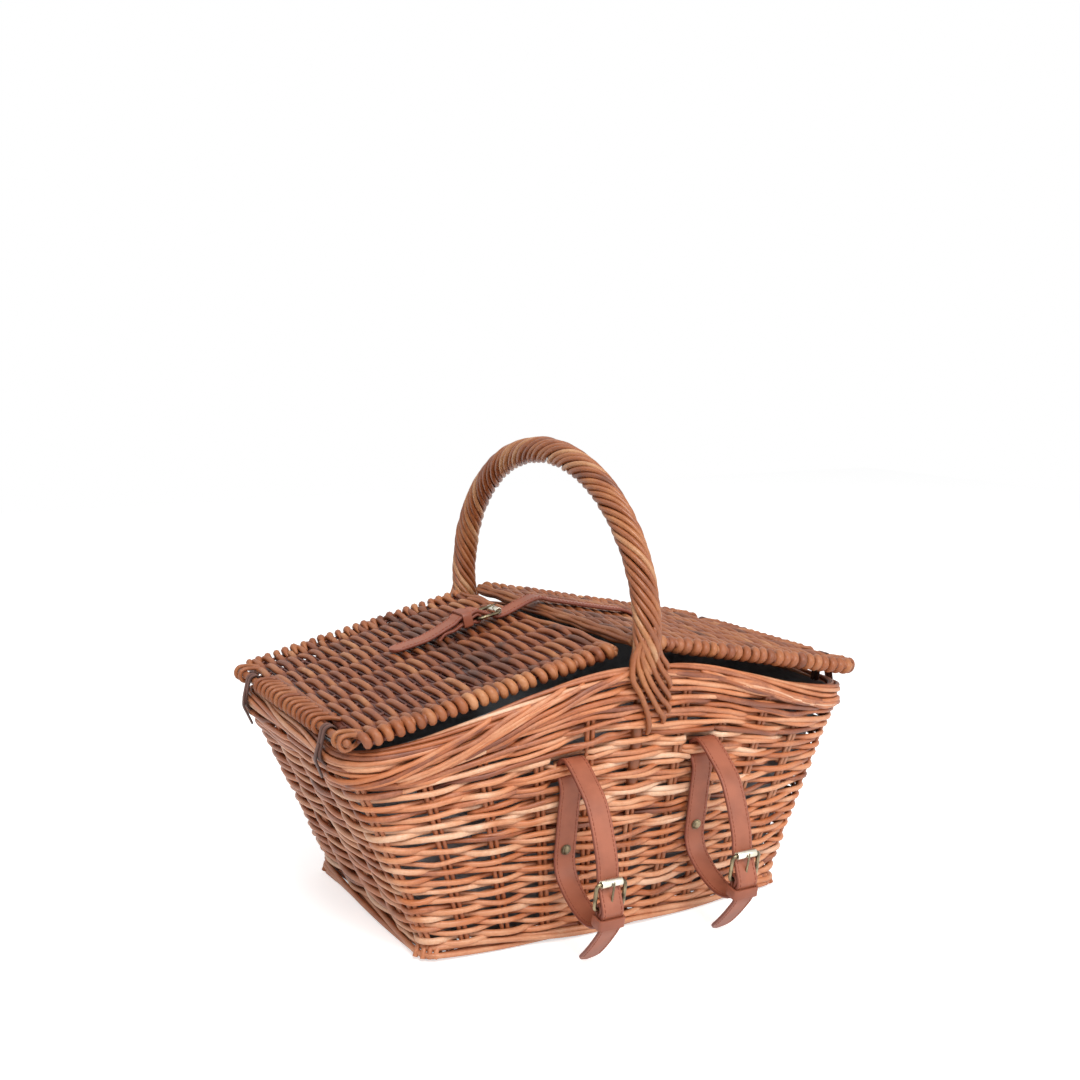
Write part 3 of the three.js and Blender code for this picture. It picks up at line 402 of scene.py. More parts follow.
def halfWidthAt(x, level, inset):
    halfLength = between(tub["baseLength"], tub["rimLength"], level) / 2
    endHalf = between(tub["baseEndWidth"], tub["rimEndWidth"], level) / 2
    baseBow, rimBow = tub["baseMidWidth"] - tub["baseEndWidth"], tub["rimMidWidth"] - tub["rimEndWidth"]
    bow = between(baseBow, rimBow, level) / 2
    share = np.minimum(1, np.abs(x) / halfLength)
    return endHalf + bow * (1 - share ** tub["bowPower"]) - inset


def levelAt(x, z):
    return (z - tub["footHeight"]) / (rimHeightAt(x) - tub["wallDrop"] - tub["footHeight"])


def wallFaceAt(x, z):
    return float(halfWidthAt(np.array(float(x)), levelAt(np.array(float(x)), z), 0))


def outlinePoint(place, level, inset):
    # place runs 0 to 4 round the tub: front middle, right end, back middle, left end
    place = np.mod(place, 4)
    quarter = np.floor(place).astype(int) % 4
    share = np.where(quarter % 2 == 0, place - quarter, 1 - (place - quarter))
    end = between(tub["baseLength"], tub["rimLength"], level) / 2 - inset
    corner = np.maximum(between(tub["baseCorner"], tub["rimCorner"], level) - inset, tub["leastCorner"])
    turnX = end - corner
    turnY = halfWidthAt(turnX, level, inset)
    tipY = halfWidthAt(end, level, inset)
    sideShare, cornerShare = tub["sideShare"], tub["cornerShare"]
    sideX = turnX * np.minimum(share / sideShare, 1)
    bend = np.clip((share - sideShare) / cornerShare, 0, 1)
    bendX = (1 - bend) ** 2 * turnX + 2 * bend * (1 - bend) * end + bend ** 2 * end
    bendY = (1 - bend) ** 2 * turnY + 2 * bend * (1 - bend) * tipY + bend ** 2 * (tipY - corner)
    endShare = 1 - sideShare - cornerShare
    endY = (tipY - corner) * (1 - np.clip((share - sideShare - cornerShare) / endShare, 0, 1))
    onSide, onBend = share < sideShare, share < sideShare + cornerShare
    x = np.where(onSide, sideX, np.where(onBend, bendX, end))
    y = np.where(onSide, halfWidthAt(sideX, level, inset), np.where(onBend, bendY, endY))
    return x * np.where(quarter < 2, 1, -1), y * np.where((quarter == 0) | (quarter == 3), -1, 1)


def fromMiddle(place):
    # 0 at the middle of a long side, 1 at the middle of an end
    return np.abs(np.mod(place + 1, 2) - 1)


weave = {
    "rows": 35, "low": 0.005, "high": 0.995, "rowStray": 0.0018, "radius": 2.25, "depth": 5.6, "steps": 8,
    "swing": 3.5, "swingPower": 0.85, "wale": (1.9, 0.9), "waleOver": 3, "walesFrom": 31,
    "flatTo": 0.5, "humpPower": 1.15, "wobble": 0.75, "cornerPull": 0.35, "cornerWide": 0.09,
    "rodReach": (8, 15), "overlap": 0.14, "pointed": 0.35, "sizeSpread": 0.08, "sizeStray": 0.03,
    "packFrom": 17, "packWales": 28, "packSpan": (2.4, 4.6), "packPower": 0.7, "packSize": 0.94,
    "diveSteps": 5, "dive": (5, 2.5),  # how far the packing rows' ends go in and down
    "sideStakes": 4, "sidePitch": 4.55, "endStakes": (0.15, 0.7), "stakeRadius": 1.9, "stakePair": 2.2,
    "stakeShares": (-0.03, 1.035), "stakeSteps": 26, "stakeTone": (0.5, 0.1), "pairTone": (0, 0.06),
    "stakePaintedShade": 0.35,
    "tone": 0.57, "toneSpread": 0.2, "toneStray": 0.09, "oddShare": 0.1, "oddTones": [-0.3, 0.2],
    # painted shade: the top rows and the end walls are made darker
    "topPaintedShade": 0.36, "topFrom": 0.7, "topSpan": 0.3, "endPaintedShade": 0.15, "endFrom": 0.7, "endSpan": 0.12,
    # painted shade down in the weave
    "deep": 0.5, "deepFrom": 1.2,
    "strapPlaces": (-58, 60), "slotHeight": 142.5, "bridge": 3.9, "slot": 13.0, "slotHalf": 12.0,
    "slotEase": 5, "bridgeInset": 1.4, "slotInset": 11.0,
}


def stakePlaces():
    side, corner = tub["sideShare"], tub["cornerShare"]
    quarter = [side * j / weave["sidePitch"] for j in range(1, weave["sideStakes"] + 1)] + [cornerPlace]
    quarter += [side + corner + (1 - side - corner) * share for share in weave["endStakes"]]
    half = [0.0] + quarter + [2 - q for q in reversed(quarter)]
    return np.array(half + [q + 2 for q in half])


def rowHeight(share, x):
    lift = np.clip((share - weave["flatTo"]) / (1 - weave["flatTo"]), 0, 1) ** weave["humpPower"]
    tall = tub["rimEndHeight"] - tub["wallDrop"] - tub["footHeight"]
    return tub["footHeight"] + tall * share + (rimHeightAt(x) - tub["rimEndHeight"]) * lift


def onWall(place, share, inset):
    level = np.full(np.shape(place), 1.0) * share
    for _ in range(5):
        x, y = outlinePoint(place, level, inset)
        z = rowHeight(share, x)
        level = levelAt(x, z)
    return triple(x, y, z)


def clearStraps(points, inset):
    # two rows stay in front of each strap as a bridge, the rows next to them give way behind it
    inset, ease = inset.copy(), weave["slotEase"]
    for x in weave["strapPlaces"]:
        aside = np.abs(points[:, 0] - x)
        near = np.clip((weave["slotHalf"] + ease - aside) / ease, 0, 1) * (points[:, 1] < 0)
        up = np.abs(points[:, 2] - weave["slotHeight"])
        behind = np.where(up < weave["slot"], weave["slotInset"], inset)
        target = np.where(up < weave["bridge"], weave["bridgeInset"], behind)
        inset += (target - inset) * near
    return inset


def weaver(place, index, share, row, waled, radius=1.0):
    # plain weave, or a wale that goes in front of three stakes and behind one
    turn = index + row
    if waled:
        steep, shift = weave["wale"]
        crest = np.cos(2 * math.pi * turn / (weave["waleOver"] + 1)) * steep - shift
        wave = 1 - 2 * np.clip(crest, 0, 1)
    else:
        wave = np.cos(math.pi * turn)
    # round the corners the rods are pulled tight
    middle = fromMiddle(place)
    slack = 1 - weave["cornerPull"] * np.exp(-((middle - cornerPlace) / weave["cornerWide"]) ** 2)
    swing = np.sign(wave) * np.abs(wave) ** weave["swingPower"] * slack
    inset = weave["depth"] - weave["swing"] * swing
    inset = clearStraps(onWall(place, share, inset), inset)
    points = onWall(place, share, inset)
    points[:, 2] += wander(len(points), weave["wobble"], 9)
    stout = 1 + dice.normal() * weave["sizeSpread"] + wander(len(points), weave["sizeStray"], 4)
    # painted shade: rows darken towards the rim, against the lamp light on the top of the wall
    tone = weave["tone"] - weave["topPaintedShade"] * max(share - weave["topFrom"], 0) / weave["topSpan"]
    shade = dice.normal(tone, weave["toneSpread"]) + wander(len(points), weave["toneStray"], 6)
    if dice.uniform() < weave["oddShare"]:
        shade = shade + dice.choice(weave["oddTones"])
    # painted shade: the rods on the ends are darker, as the ends stand in less light
    shade = shade - weave["endPaintedShade"] * np.clip((middle - weave["endFrom"]) / weave["endSpan"], 0, 1)
    # painted shade: a rod is darker where it sinks in behind a stake
    sunk = (inset - weave["depth"] + weave["deepFrom"]) / (2 * weave["swing"])
    deep = np.clip(sunk, 0, 1) * weave["deep"]
    return cane(points, weave["radius"] * radius * stout, shade, deep, pointed=weave["pointed"])


def wallWeave():
    stakes = stakePlaces()
    count, steps, last = len(stakes), weave["steps"], weave["rows"] - 1
    placeAt = lambda index: np.interp(np.mod(index, count), np.arange(count + 1), np.append(stakes, 4.0))
    canes = []
    for row in range(weave["rows"]):
        share = between(weave["low"], weave["high"], row / last) + dice.normal(0, weave["rowStray"])
        start = int(dice.integers(0, count))
        start += (start + row + 1) % 2
        at = start
        while at < start + count:
            reach = min(int(dice.integers(*weave["rodReach"])) // 2 * 2, start + count - at)
            index = np.linspace(at - weave["overlap"], at + reach + weave["overlap"], reach * steps + 3)
            canes.append(weaver(placeAt(index), index, share, row, row >= weave["walesFrom"]))
            at += reach
    # short rows that fill the hump of each long side, their ends tucked behind a stake
    for row in range(weave["packFrom"], last):
        share = between(weave["low"], weave["high"], (row + 0.5) / last)
        grown = (row - weave["packFrom"]) / (last - 1 - weave["packFrom"])
        span = between(*weave["packSpan"], grown ** weave["packPower"])
        for face, inward in ((0, 1), (count // 2, -1)):
            lean = dice.uniform(-0.5, 0.5)
            index = np.linspace(face - span - lean, face + span - lean, int(span * 2 * steps) + 1)
            rod = weaver(placeAt(index), index, share, row, row >= weave["packWales"], weave["packSize"])
            fromEnd = np.minimum(np.arange(len(index)), np.arange(len(index))[::-1])
            dive = np.clip(1 - fromEnd / weave["diveSteps"], 0, 1)
            deepIn, down = weave["dive"]
            rod["points"] = rod["points"] + np.outer(dive, [0, inward * deepIn, -down])
            canes.append(rod)
    return canes


def wallStakes():
    canes = []
    shares = np.linspace(*weave["stakeShares"], weave["stakeSteps"])
    for place in stakePlaces():
        line = onWall(np.full(len(shares), place), shares, weave["depth"])
        beside = onWall(np.full(len(shares), place + 0.01), shares, weave["depth"]) - line
        beside /= np.linalg.norm(beside, axis=1)[:, None]
        shade = dice.normal(*weave["stakeTone"])
        for side in (-1, 1):
            points = line + side * beside * weave["stakePair"]
            size = weave["stakeRadius"] * (1 + wander(len(points), 0.04, 3))
            tone = shade + dice.normal(*weave["pairTone"])
            # stakes get painted shade, as they stand behind the weavers
            canes.append(cane(points, size, tone, weave["stakePaintedShade"], pointed=0.3))
    return canes


stakeNodes = ["cross_stake_%d" % i for i in range(1, 7)] + ["length_stake_%d" % i for i in range(1, 5)]
bundle("wall_canes", wallWeave(), 8, "wall", "basket", "wall_weave")
bundle("wall_stakes", wallStakes(), 6, "wall", "basket", *stakeNodes)

rim = {
    "strands": 8, "orbit": 4.5, "radius": 1.85, "pitch": 430, "loose": 0.2, "core": 2.4, "gap": 5.4,
    "steps": 130, "tones": (0.37, 0.2), "sweeps": 9, "sweepRadius": 1.9, "sweepInset": -0.6, "sweepSteps": 40,
    "sweepTones": (0.3, 0.2), "tuck": (4, 8), "spread": (0.9, 0.75),
    # where the rods that sweep up start, how far below the rim they run, and how far along
    "runs": ((3.24, (27, 4), 0.4), (0.06, (7, 17), 0.5)),
}


def rimHalf(side):
    # from the front leg of the handle round one end to the back leg
    start = rim["gap"] / ((tub["rimLength"] / 2 - tub["rimCorner"]) / tub["sideShare"])
    place = np.linspace(start, 2 - start, rim["steps"])
    if side < 0:
        place = place + 2
    x, y = outlinePoint(place, np.ones(len(place)), tub["rimSetIn"])
    centre = triple(x, y, rimHeightAt(x) - tub["rimRoll"] / 2)
    outward = triple(x / 230, y / 140, 0)
    rings = [(rim["strands"], rim["orbit"], rim["radius"]), (1, 0, rim["core"])]
    canes = twistBundle(centre, outward, rings, rim["pitch"], rim["tones"], rim["loose"])
    tuck, tuckPower = rim["tuck"]
    room, share = rim["spread"]
    for k in range(rim["sweeps"]):
        for first, drops, reach in rim["runs"]:
            begin = first + (room - reach) * k / rim["sweeps"] * share + dice.uniform(-0.02, 0.02)
            place = np.linspace(begin, begin + reach * dice.uniform(0.8, 1.1), rim["sweepSteps"])
            place = place[(place % 1 > start) & (np.floor(place) == np.floor(begin))]
            along = np.linspace(0, 1, len(place))
            place = place + (2 if (side > 0) == (first > 2) else 0)
            inset = rim["sweepInset"] + tuck * np.abs(2 * along - 1) ** tuckPower
            x, y = outlinePoint(place, np.ones(len(place)), inset)
            z = rimHeightAt(x) - between(*drops, along) + wander(len(place), 0.8, 3) + dice.uniform(-2, 2)
            x, y = outlinePoint(place, np.minimum(levelAt(x, z), 1), inset)
            shade = dice.normal(*rim["sweepTones"]) + wander(len(place), 0.08, 4)
            canes.append(cane(triple(x, y, z), rim["sweepRadius"], shade, 0.05, pointed=0.4))
    return canes


for side, name in ((-1, "left"), (1, "right")):
    bundle("rim_canes_" + name, rimHalf(side), 8, "wall", "basket", "rim_roll_" + name)

foot = {
    "inset": 5.2, "height": 5.9, "strands": 4, "orbit": 3.3, "radius": 2.25, "pitch": 330, "loose": 0.24,
    "steps": 220, "tones": (0.5, 0.15), "upset": {"inset": 8.4, "height": 8.9, "radius": 2.7, "tone": 0.4},
    "stubs": (-7.5, -2.5, 2.5, 7.5), "stubRadius": 2.1, "stubTone": (0.45, 0.12), "cutTone": 0.3,
}


def footRope():
    place = np.linspace(0, 4, foot["steps"], endpoint=False)
    level = np.zeros(len(place))
    x, y = outlinePoint(place, level, foot["inset"])
    rings = [(foot["strands"], foot["orbit"], foot["radius"])]
    canes = twistBundle(triple(x, y, foot["height"]), triple(x / 165, y / 120, 0), rings, foot["pitch"],
                        foot["tones"], foot["loose"], True)
    # one rod inside closes the gap to the first row
    upset = foot["upset"]
    x, y = outlinePoint(place, level, upset["inset"])
    # the inner rod carries painted shade, below the first row
    canes.append(cane(triple(x, y, upset["height"]), upset["radius"], upset["tone"], 0.4, closed=True))
    # cut stake ends stick out at the four corners
    for place in (cornerPlace, 2 - cornerPlace, 2 + cornerPlace, 4 - cornerPlace):
        x, y = (float(v) for v in outlinePoint(np.array(place), np.array(0.0), foot["inset"]))
        out = np.array([math.copysign(0.7, x), math.copysign(0.7, y), 0])
        for lane in foot["stubs"]:
            at = np.array([x, y, 0]) + lane * np.array([-out[1], out[0], 0]) - abs(lane) * 0.4 * out
            lean = dice.uniform(-2, 2, 3) * [1, 1, 0]
            points = [at - 4 * out + [0, 0, 15], at + 2.5 * out + [0, 0, 8] + lean * 0.5,
                      at + dice.uniform(3.5, 5.5) * out + [0, 0, 2.4] + lean]
            line = smoothLine(points, 7)
            tone = np.full(len(line), dice.normal(*foot["stubTone"]))
            tone[-1] += foot["cutTone"]
            canes.append(cane(line, foot["stubRadius"], tone, 0.1))
    return canes


bundle("foot_canes", footRope(), 8, "wall", "basket", "foot_border")

baseMat = {
    "sticks": 9, "stickRadius": 1.7, "radius": 1.5, "swing": 1.95, "middle": 3.5, "pitch": 4.6, "inset": 10.5,
    "margin": 5, "corner": 8, "overhang": 0.4, "tone": (0.45, 0.15), "stickTone": (0.4, 0.1),
}


def baseWeave():
    canes = []
    half = tub["baseLength"] / 2 - baseMat["inset"]
    woven = half - baseMat["margin"]
    rows = int(2 * woven / baseMat["pitch"])
    sticks, over = baseMat["sticks"], baseMat["overhang"]
    across = lambda stick: 2 * (stick + over) / (sticks - 0.2) - 1
    for row in range(rows + 1):
        x = -half + baseMat["margin"] + 2 * woven * row / rows
        wide = float(halfWidthAt(x, 0, baseMat["inset"])) - max(0, abs(x) - half + baseMat["corner"])
        stick = np.linspace(-over, sticks - 1 + over, sticks * 6)
        z = baseMat["middle"] + baseMat["swing"] * np.cos(math.pi * (stick + row))
        points = triple(x + wander(len(stick), 0.25, 4), wide * across(stick), z)
        # base rods and sticks carry a little painted shade
        canes.append(cane(points, baseMat["radius"], dice.normal(*baseMat["tone"]), 0.15, pointed=0.3))
    for stick in range(sticks):
        x = np.linspace(-half, half, 24)
        points = triple(x, across(stick) * halfWidthAt(x, 0, baseMat["inset"]), baseMat["middle"])
        shade = dice.normal(*baseMat["stickTone"])
        canes.append(cane(points, baseMat["stickRadius"], shade, 0.2, pointed=0.3))
    return canes


bundle("base_canes", baseWeave(), 6, "wall", "basket", "base_panel")

liner = {
    "inset": 15.2, "endInset": 13.2, "ease": (0.45, 0.65), "drop": 3.5, "floor": 9.8,
    "bottom": 0.05, "taper": 2, "around": 220, "down": 24, "inward": 12, "foldSteps": 4,
    "fold": (0.04, 0.05), "thick": 1.2, "wave": 0.9,
}


def linerRings(around):
    # one bag: walls that follow the tub, a rounded fold at the floor, then the floor itself
    rings = []
    # nearer the wall away from the strap slots
    inset = np.interp(fromMiddle(around), liner["ease"], [liner["inset"], liner["endInset"]])
    for share in np.linspace(1, liner["bottom"], liner["down"]):
        folds = np.sin(around * 9 + share * 3) + 0.7 * np.sin(around * 23 - share * 5)
        sag = liner["wave"] * folds * (1.1 - share)
        x, y = outlinePoint(around, np.full(len(around), share), inset + sag + liner["taper"] * (1 - share))
        rings.append(triple(x, y, between(tub["footHeight"], rimHeightAt(x) - liner["drop"], share)))
    low = rings[-1]
    for turn in np.linspace(0, math.pi / 2, liner["foldSteps"] + 1)[1:]:
        foldX, foldY = (1 - most * (1 - math.cos(turn)) for most in liner["fold"])
        ring = low * [foldX, foldY, 1]
        ring[:, 2] = between(low[:, 2], liner["floor"], math.sin(turn))
        rings.append(ring)
    edge = rings[-1]
    return rings + [edge * [share, share, 1] for share in np.linspace(1, 0, liner["inward"] + 1)[1:-1]]


def linerCloth():
    count = liner["around"]
    rings = linerRings(np.linspace(0, 4, count, endpoint=False))
    points = np.vstack(rings + [[[0, 0, liner["floor"]]]]) * mm
    last = (len(rings) - 1) * count
    middle = [(last + i, last + (i + 1) % count, len(points) - 1) for i in range(count)]
    piece = meshPiece("liner_cloth", points, gridFaces(len(rings), count) + middle, inside=True)
    # the cloth's threads follow its edge and its fall
    run = runAlong(np.vstack([rings[0], rings[0][:1]])) * mm
    falls = [np.linalg.norm(a - b, axis=1).mean() for a, b in zip(rings, rings[1:])]
    fall = np.append(0, np.cumsum(falls)) * mm
    mesh = piece.data
    layer = mesh.uv_layers.new(name="UVMap")
    for face in mesh.polygons:
        columns = [mesh.loops[k].vertex_index % count for k in face.loop_indices]
        wraps = max(columns) - min(columns) > count / 2
        for k, column in zip(face.loop_indices, columns):
            row = min(mesh.loops[k].vertex_index // count, len(fall) - 1)
            layer.data[k].uv = (run[count if wraps and column == 0 else column], fall[row])
    bpy.ops.object.shade_smooth()
    wall = piece.modifiers.new("cloth", "SOLIDIFY")
    wall.thickness = liner["thick"] * mm
    wall.offset = 0
    bpy.ops.object.modifier_apply(modifier=wall.name)
    return dress(piece, "cloth", "basket", "liner")


linerPiece = linerCloth()

# Handle
bow = {
    "top": 367, "halfSpan": 157, "spring": 240, "coreInset": 7.35, "coreRadius": 5, "legBottom": 110,
    "strands": 10, "orbit": 8.55, "radius": 2.4, "pitch": -90, "loose": 0.042, "wrapFrom": 214, "steps": 300,
    "tones": (0.54, 0.2), "footRadius": 2.15, "footTone": (0.56, 0.1), "rimTop": 204, "tuck": 5, "ease": 20,
    # each strand end: across and up, from the twist over the rim and down the wall to where it is tucked in
    "footLines": [
        [(-8.0, 236), (-13.5, 222), (-14.4, 209), (-8.2, 199), (-2.6, 189), (2.5, 177), (4.8, 167)],
        [(-6.5, 240), (-10.0, 224), (-5.6, 207), (2.9, 194), (10.3, 183), (17.8, 174)],
        [(-4.5, 243), (-6.6, 225), (-0.3, 208), (10.7, 193), (21.6, 182)],
        [(-2.0, 246), (-2.6, 227), (5.4, 211), (13.1, 200), (20.5, 191)],
        [(1.0, 248), (2.0, 230), (9.4, 216), (16.0, 207), (20.0, 201)],
        [(3.0, 250), (6.0, 235), (11.0, 224), (16.5, 216)],
    ],
}


def bowLine():
    leg = lambda z: [float(halfWidthAt(0.0, min(float(levelAt(0.0, z)), 1.0), bow["coreInset"])), z]
    half = [leg(bow["legBottom"]), leg(between(bow["legBottom"], tub["rimMidHeight"], 0.5)),
            leg(tub["rimMidHeight"] - tub["rimRoll"]), [bow["halfSpan"], bow["spring"]]]
    arch = []
    for i in range(1, 10):
        angle = i / 10 * math.pi
        rise = (bow["top"] - bow["spring"]) * math.sin(angle)
        arch.append([bow["halfSpan"] * math.cos(angle), bow["spring"] + rise])
    path = half + arch + [[-y, z] for y, z in reversed(half)]
    return smoothLine([[0, y, z] for y, z in path], 14)


def evenly(line, count):
    run = runAlong(line)
    return sampled(np.linspace(0, run[-1], count), run, line)


def handleStrands():
    line = bowLine()
    wrap = evenly(line[line[:, 2] > bow["wrapFrom"]], bow["steps"])
    outward = np.tile([1.0, 0, 0], (len(wrap), 1))
    rings = [(bow["strands"], bow["orbit"], bow["radius"])]
    canes = twistBundle(wrap, outward, rings, bow["pitch"], bow["tones"], bow["loose"])
    # the core under the twist carries painted shade
    canes.append(cane(evenly(line, 90), bow["coreRadius"], 0.4, 0.3, pointed=0.2))
    return canes


def footStrands(side):
    # strand ends that leave the twist, spread over the rim and are tucked between the weavers
    canes = []
    radius = bow["footRadius"]
    overRim = tub["rimRoll"] / 2 - tub["rimSetIn"] + radius + 0.6
    for places in bow["footLines"]:
        points = []
        for x, z in places:
            onTwist = bow["halfSpan"] + math.sqrt(max(bow["orbit"] ** 2 - x ** 2, 0)) - 0.5
            onRim = float(halfWidthAt(x, 1.0, -overRim))
            onFace = wallFaceAt(x, min(z, bow["rimTop"])) + radius + 0.8
            share = np.clip((z - tub["rimMidHeight"]) / bow["ease"], 0, 1)
            out = onFace if z < bow["rimTop"] else between(onRim, max(onTwist, onRim - 4), share)
            points.append([-side * x, side * out, z])
        x, z = places[-1]
        points[-1][1] -= side * radius * 0.6
        points.append([-side * (x + 1.5), points[-1][1] - side * bow["tuck"], z - bow["tuck"]])
        line = smoothLine(points, 7)
        count = len(line)
        size = radius * np.interp(np.arange(count), [0, 6, count * 0.8, count], [0.9, 1.08, 1, 0.8])
        canes.append(cane(line, size, dice.normal(*bow["footTone"]), 0.05, pointed=0.3))
    return canes


bundle("handle_strands", handleStrands(), 8, "handle", "basket", "handle_wrap", "handle_core")
for side, name in ((-1, "front"), (1, "back")):
    bundle("handle_foot_strands_" + name, footStrands(side), 8, "handle", "basket", "handle_foot_" + name)

# Lids
lid = {
    "hingeX": 224.5, "outerHalf": 138, "sticks": 8, "spread": 0.93, "stickRadius": 1.4, "stickFrom": 6.2,
    # sticks get painted shade, as they lie under the weave
    "proud": 2.0, "stickTone": (0.5, 0.1), "stickDeep": 0.85, "cutTone": 0.3,
    "radius": 2.6, "swing": 2.8, "swingPower": 0.62, "first": 10.6, "last": 3.6, "pitch": 4.8, "steps": 12,
    "overlap": 0.12, "edgeReach": 4.0, "edgeSteps": 7, "firstCut": (3, 8), "cut": (2, 7), "toneSpread": 0.14,
    # the last two entries give painted shade where a row dips below a stick
    "farDark": 0.08, "darkFrom": 0.62, "darkShare": 0.55, "dark": 0.27, "deep": 0.8, "deepFrom": 1.5,
    # packing rods get heavy painted shade, as they sit down between the rows
    "packRadius": 1.3, "packTone": (0.22, 0.12), "packPaintedShade": 0.95,
    "wrapStep": 8.3, "wrapRadius": 3.45, "wrapReach": 5.2, "wrapTall": 3.9, "wrapIn": 9, "wrapTurn": 2.25,
    "wrapLean": 2.3, "wrapSteps": 13, "wrapTone": (0.03, 0.16), "wrapSize": ([0, 0.5, 1], [1, 0.95, 0.55]),
    "tieRadius": 1.75, "tieReach": 121, "tieStep": 10.5, "tieLean": 8.0, "tieTone": (0.5, 0.15),
    "tieTurn": 1.2, "tieFar": 15, "tieNear": 8, "tieIn": 1.6,
    "rails": [(7.0, 1.7), (6.7, -1.6), (11.5, 3.4)], "railReach": 75, "railRadius": 1.9,
    "railTone": (0.45, 0.12),
    "border": [(-0.6, 1.6), (0.6, -1.4), (-1.0, -4.0)], "borderRadius": 2.3, "borderReach": 0.955,
    "borderTone": (0.58, 0.08), "borderCut": 0.35, "hingeRadius": 3.3, "hingeReach": 126, "hingeTone": 0.55,
    "laceY": 88, "laceClear": 15, "top": 6,
    # the right lid's tone is lower than the left's: painted shade, as the right lid catches more lamp light
    "left": {"innerX": 20, "innerHalf": 140, "innerHeight": 225, "hingeHeight": 180, "turn": 1,
             "beyond": 7, "tone": 0.57},
    "right": {"innerX": 5, "innerHalf": 142, "innerHeight": 231.5, "hingeHeight": 185.5, "turn": -1,
              "beyond": 2, "tone": 0.48},
}


def lidShape(name):
    shape = lid[name]
    rise, run = shape["innerHeight"] - shape["hingeHeight"], lid["hingeX"] - shape["innerX"]
    return math.atan2(rise, run), math.hypot(rise, run)


def lidLength(name):
    return lidShape(name)[1] + lid[name]["beyond"]


def lidCane(name, points, *rod, **more):
    # points along the lid from the hinge, across it and above its middle
    slope, _ = lidShape(name)
    turn = lid[name]["turn"]
    u, y, w = np.asarray(points, float).T
    x = -lid["hingeX"] + u * math.cos(slope) - w * math.sin(slope)
    z = lid[name]["hingeHeight"] + u * math.sin(slope) + w * math.cos(slope)
    return cane(triple(x * turn, y * turn, z), *rod, **more)


def stickPlace(name, stick, u):
    # how far a stick is from the lid's middle line
    _, length = lidShape(name)
    half = lid["spread"] * between(lid["outerHalf"], lid[name]["innerHalf"], u / length)
    return half * (2 * stick / (lid["sticks"] - 1) - 1)


def lidWeave(name):
    woven = lidLength(name) - lid["last"] - lid["first"]
    sticks, swing = lid["sticks"], lid["swing"]
    rows = int(woven / lid["pitch"]) + 1
    pitch = woven / (rows - 1)
    canes, path = [], []
    nextCut = int(dice.integers(*lid["firstCut"]))
    for row in range(rows):
        u = lid["first"] + row * pitch
        way = 1 if row % 2 == 0 else -1
        stick = np.linspace(lid["overlap"], sticks - 1 - lid["overlap"], (sticks - 1) * lid["steps"])[::way]
        wave = np.cos(math.pi * (stick + row))
        lift = swing * np.sign(wave) * np.abs(wave) ** lid["swingPower"]
        path += triple(u + wander(len(stick), 0.5, 7), stickPlace(name, stick, u), lift).tolist()
        if row == rows - 1 or row == nextCut:
            near = row / rows
            shade = dice.normal(lid[name]["tone"] - lid["farDark"] * near, lid["toneSpread"])
            if near > lid["darkFrom"] and dice.uniform() < lid["darkShare"]:
                shade -= lid["dark"]
            points = np.array(path)
            size = lid["radius"] * (1 + dice.normal() * 0.05 + wander(len(points), 0.05, 12))
            # painted shade: a row is darker where it dips below the sticks
            deep = np.clip((lid["deepFrom"] - points[:, 2]) / swing, 0, 1) * lid["deep"]
            tone = shade + wander(len(points), 0.14, 14)
            canes.append(lidCane(name, points, size, tone, deep, pointed=0.3))
            path = []
            nextCut = row + int(dice.integers(*lid["cut"]))
            continue
        # round the outer stick and back as the next row
        outer = sticks - 1 if way > 0 else 0
        height = swing * math.cos(math.pi * (outer + row))
        for angle in np.linspace(0, math.pi, lid["edgeSteps"]):
            along = u + pitch * angle / math.pi
            reach = way * lid["edgeReach"] * math.sin(angle)
            path.append([along, stickPlace(name, outer, along) + reach, height * math.cos(angle)])
    # thin packing rods between the rows
    stick = np.linspace(0.1, sticks - 1.1, 40)
    for u in lid["first"] + pitch * (np.arange(rows - 1) + 0.5):
        points = triple(u + wander(len(stick), 0.3, 5), stickPlace(name, stick, u), 0)
        shade = dice.normal(*lid["packTone"])
        # packing rods carry painted shade between the rows
        canes.append(lidCane(name, points, lid["packRadius"], shade, lid["packPaintedShade"], pointed=0.3))
    return canes + lidWraps(name)


def lidWraps(name):
    # fat turns of cane that bind the outer stick along both edges
    canes = []
    steps, inward = lid["wrapSteps"], lid["wrapIn"]
    brighter, spread = lid["wrapTone"]
    thinning = np.interp(np.abs(np.linspace(-1, 1, steps + 2)), *lid["wrapSize"])
    turn = np.linspace(lid["wrapTurn"], -lid["wrapTurn"], steps)
    for outer, way in ((0, -1), (lid["sticks"] - 1, 1)):
        for u in np.arange(lid["first"] + 0.5, lidLength(name) - lid["last"], lid["wrapStep"]):
            u += dice.normal(0, 0.4)
            y = stickPlace(name, outer, u)
            along = u + lid["wrapLean"] * np.linspace(-1, 1, steps)
            ring = triple(along, y + way * lid["wrapReach"] * np.cos(turn), lid["wrapTall"] * np.sin(turn))
            tuck = np.array([[-3.0, -way * inward, 0.6], [3.0, -way * inward, -0.6]]) + [u, y, 0]
            size = lid["wrapRadius"] * (1 + dice.normal() * 0.06) * thinning
            shade = dice.normal(lid[name]["tone"] + brighter, spread)
            canes.append(lidCane(name, np.vstack([tuck[:1], ring, tuck[1:]]), size, shade, pointed=0.3))
    return canes


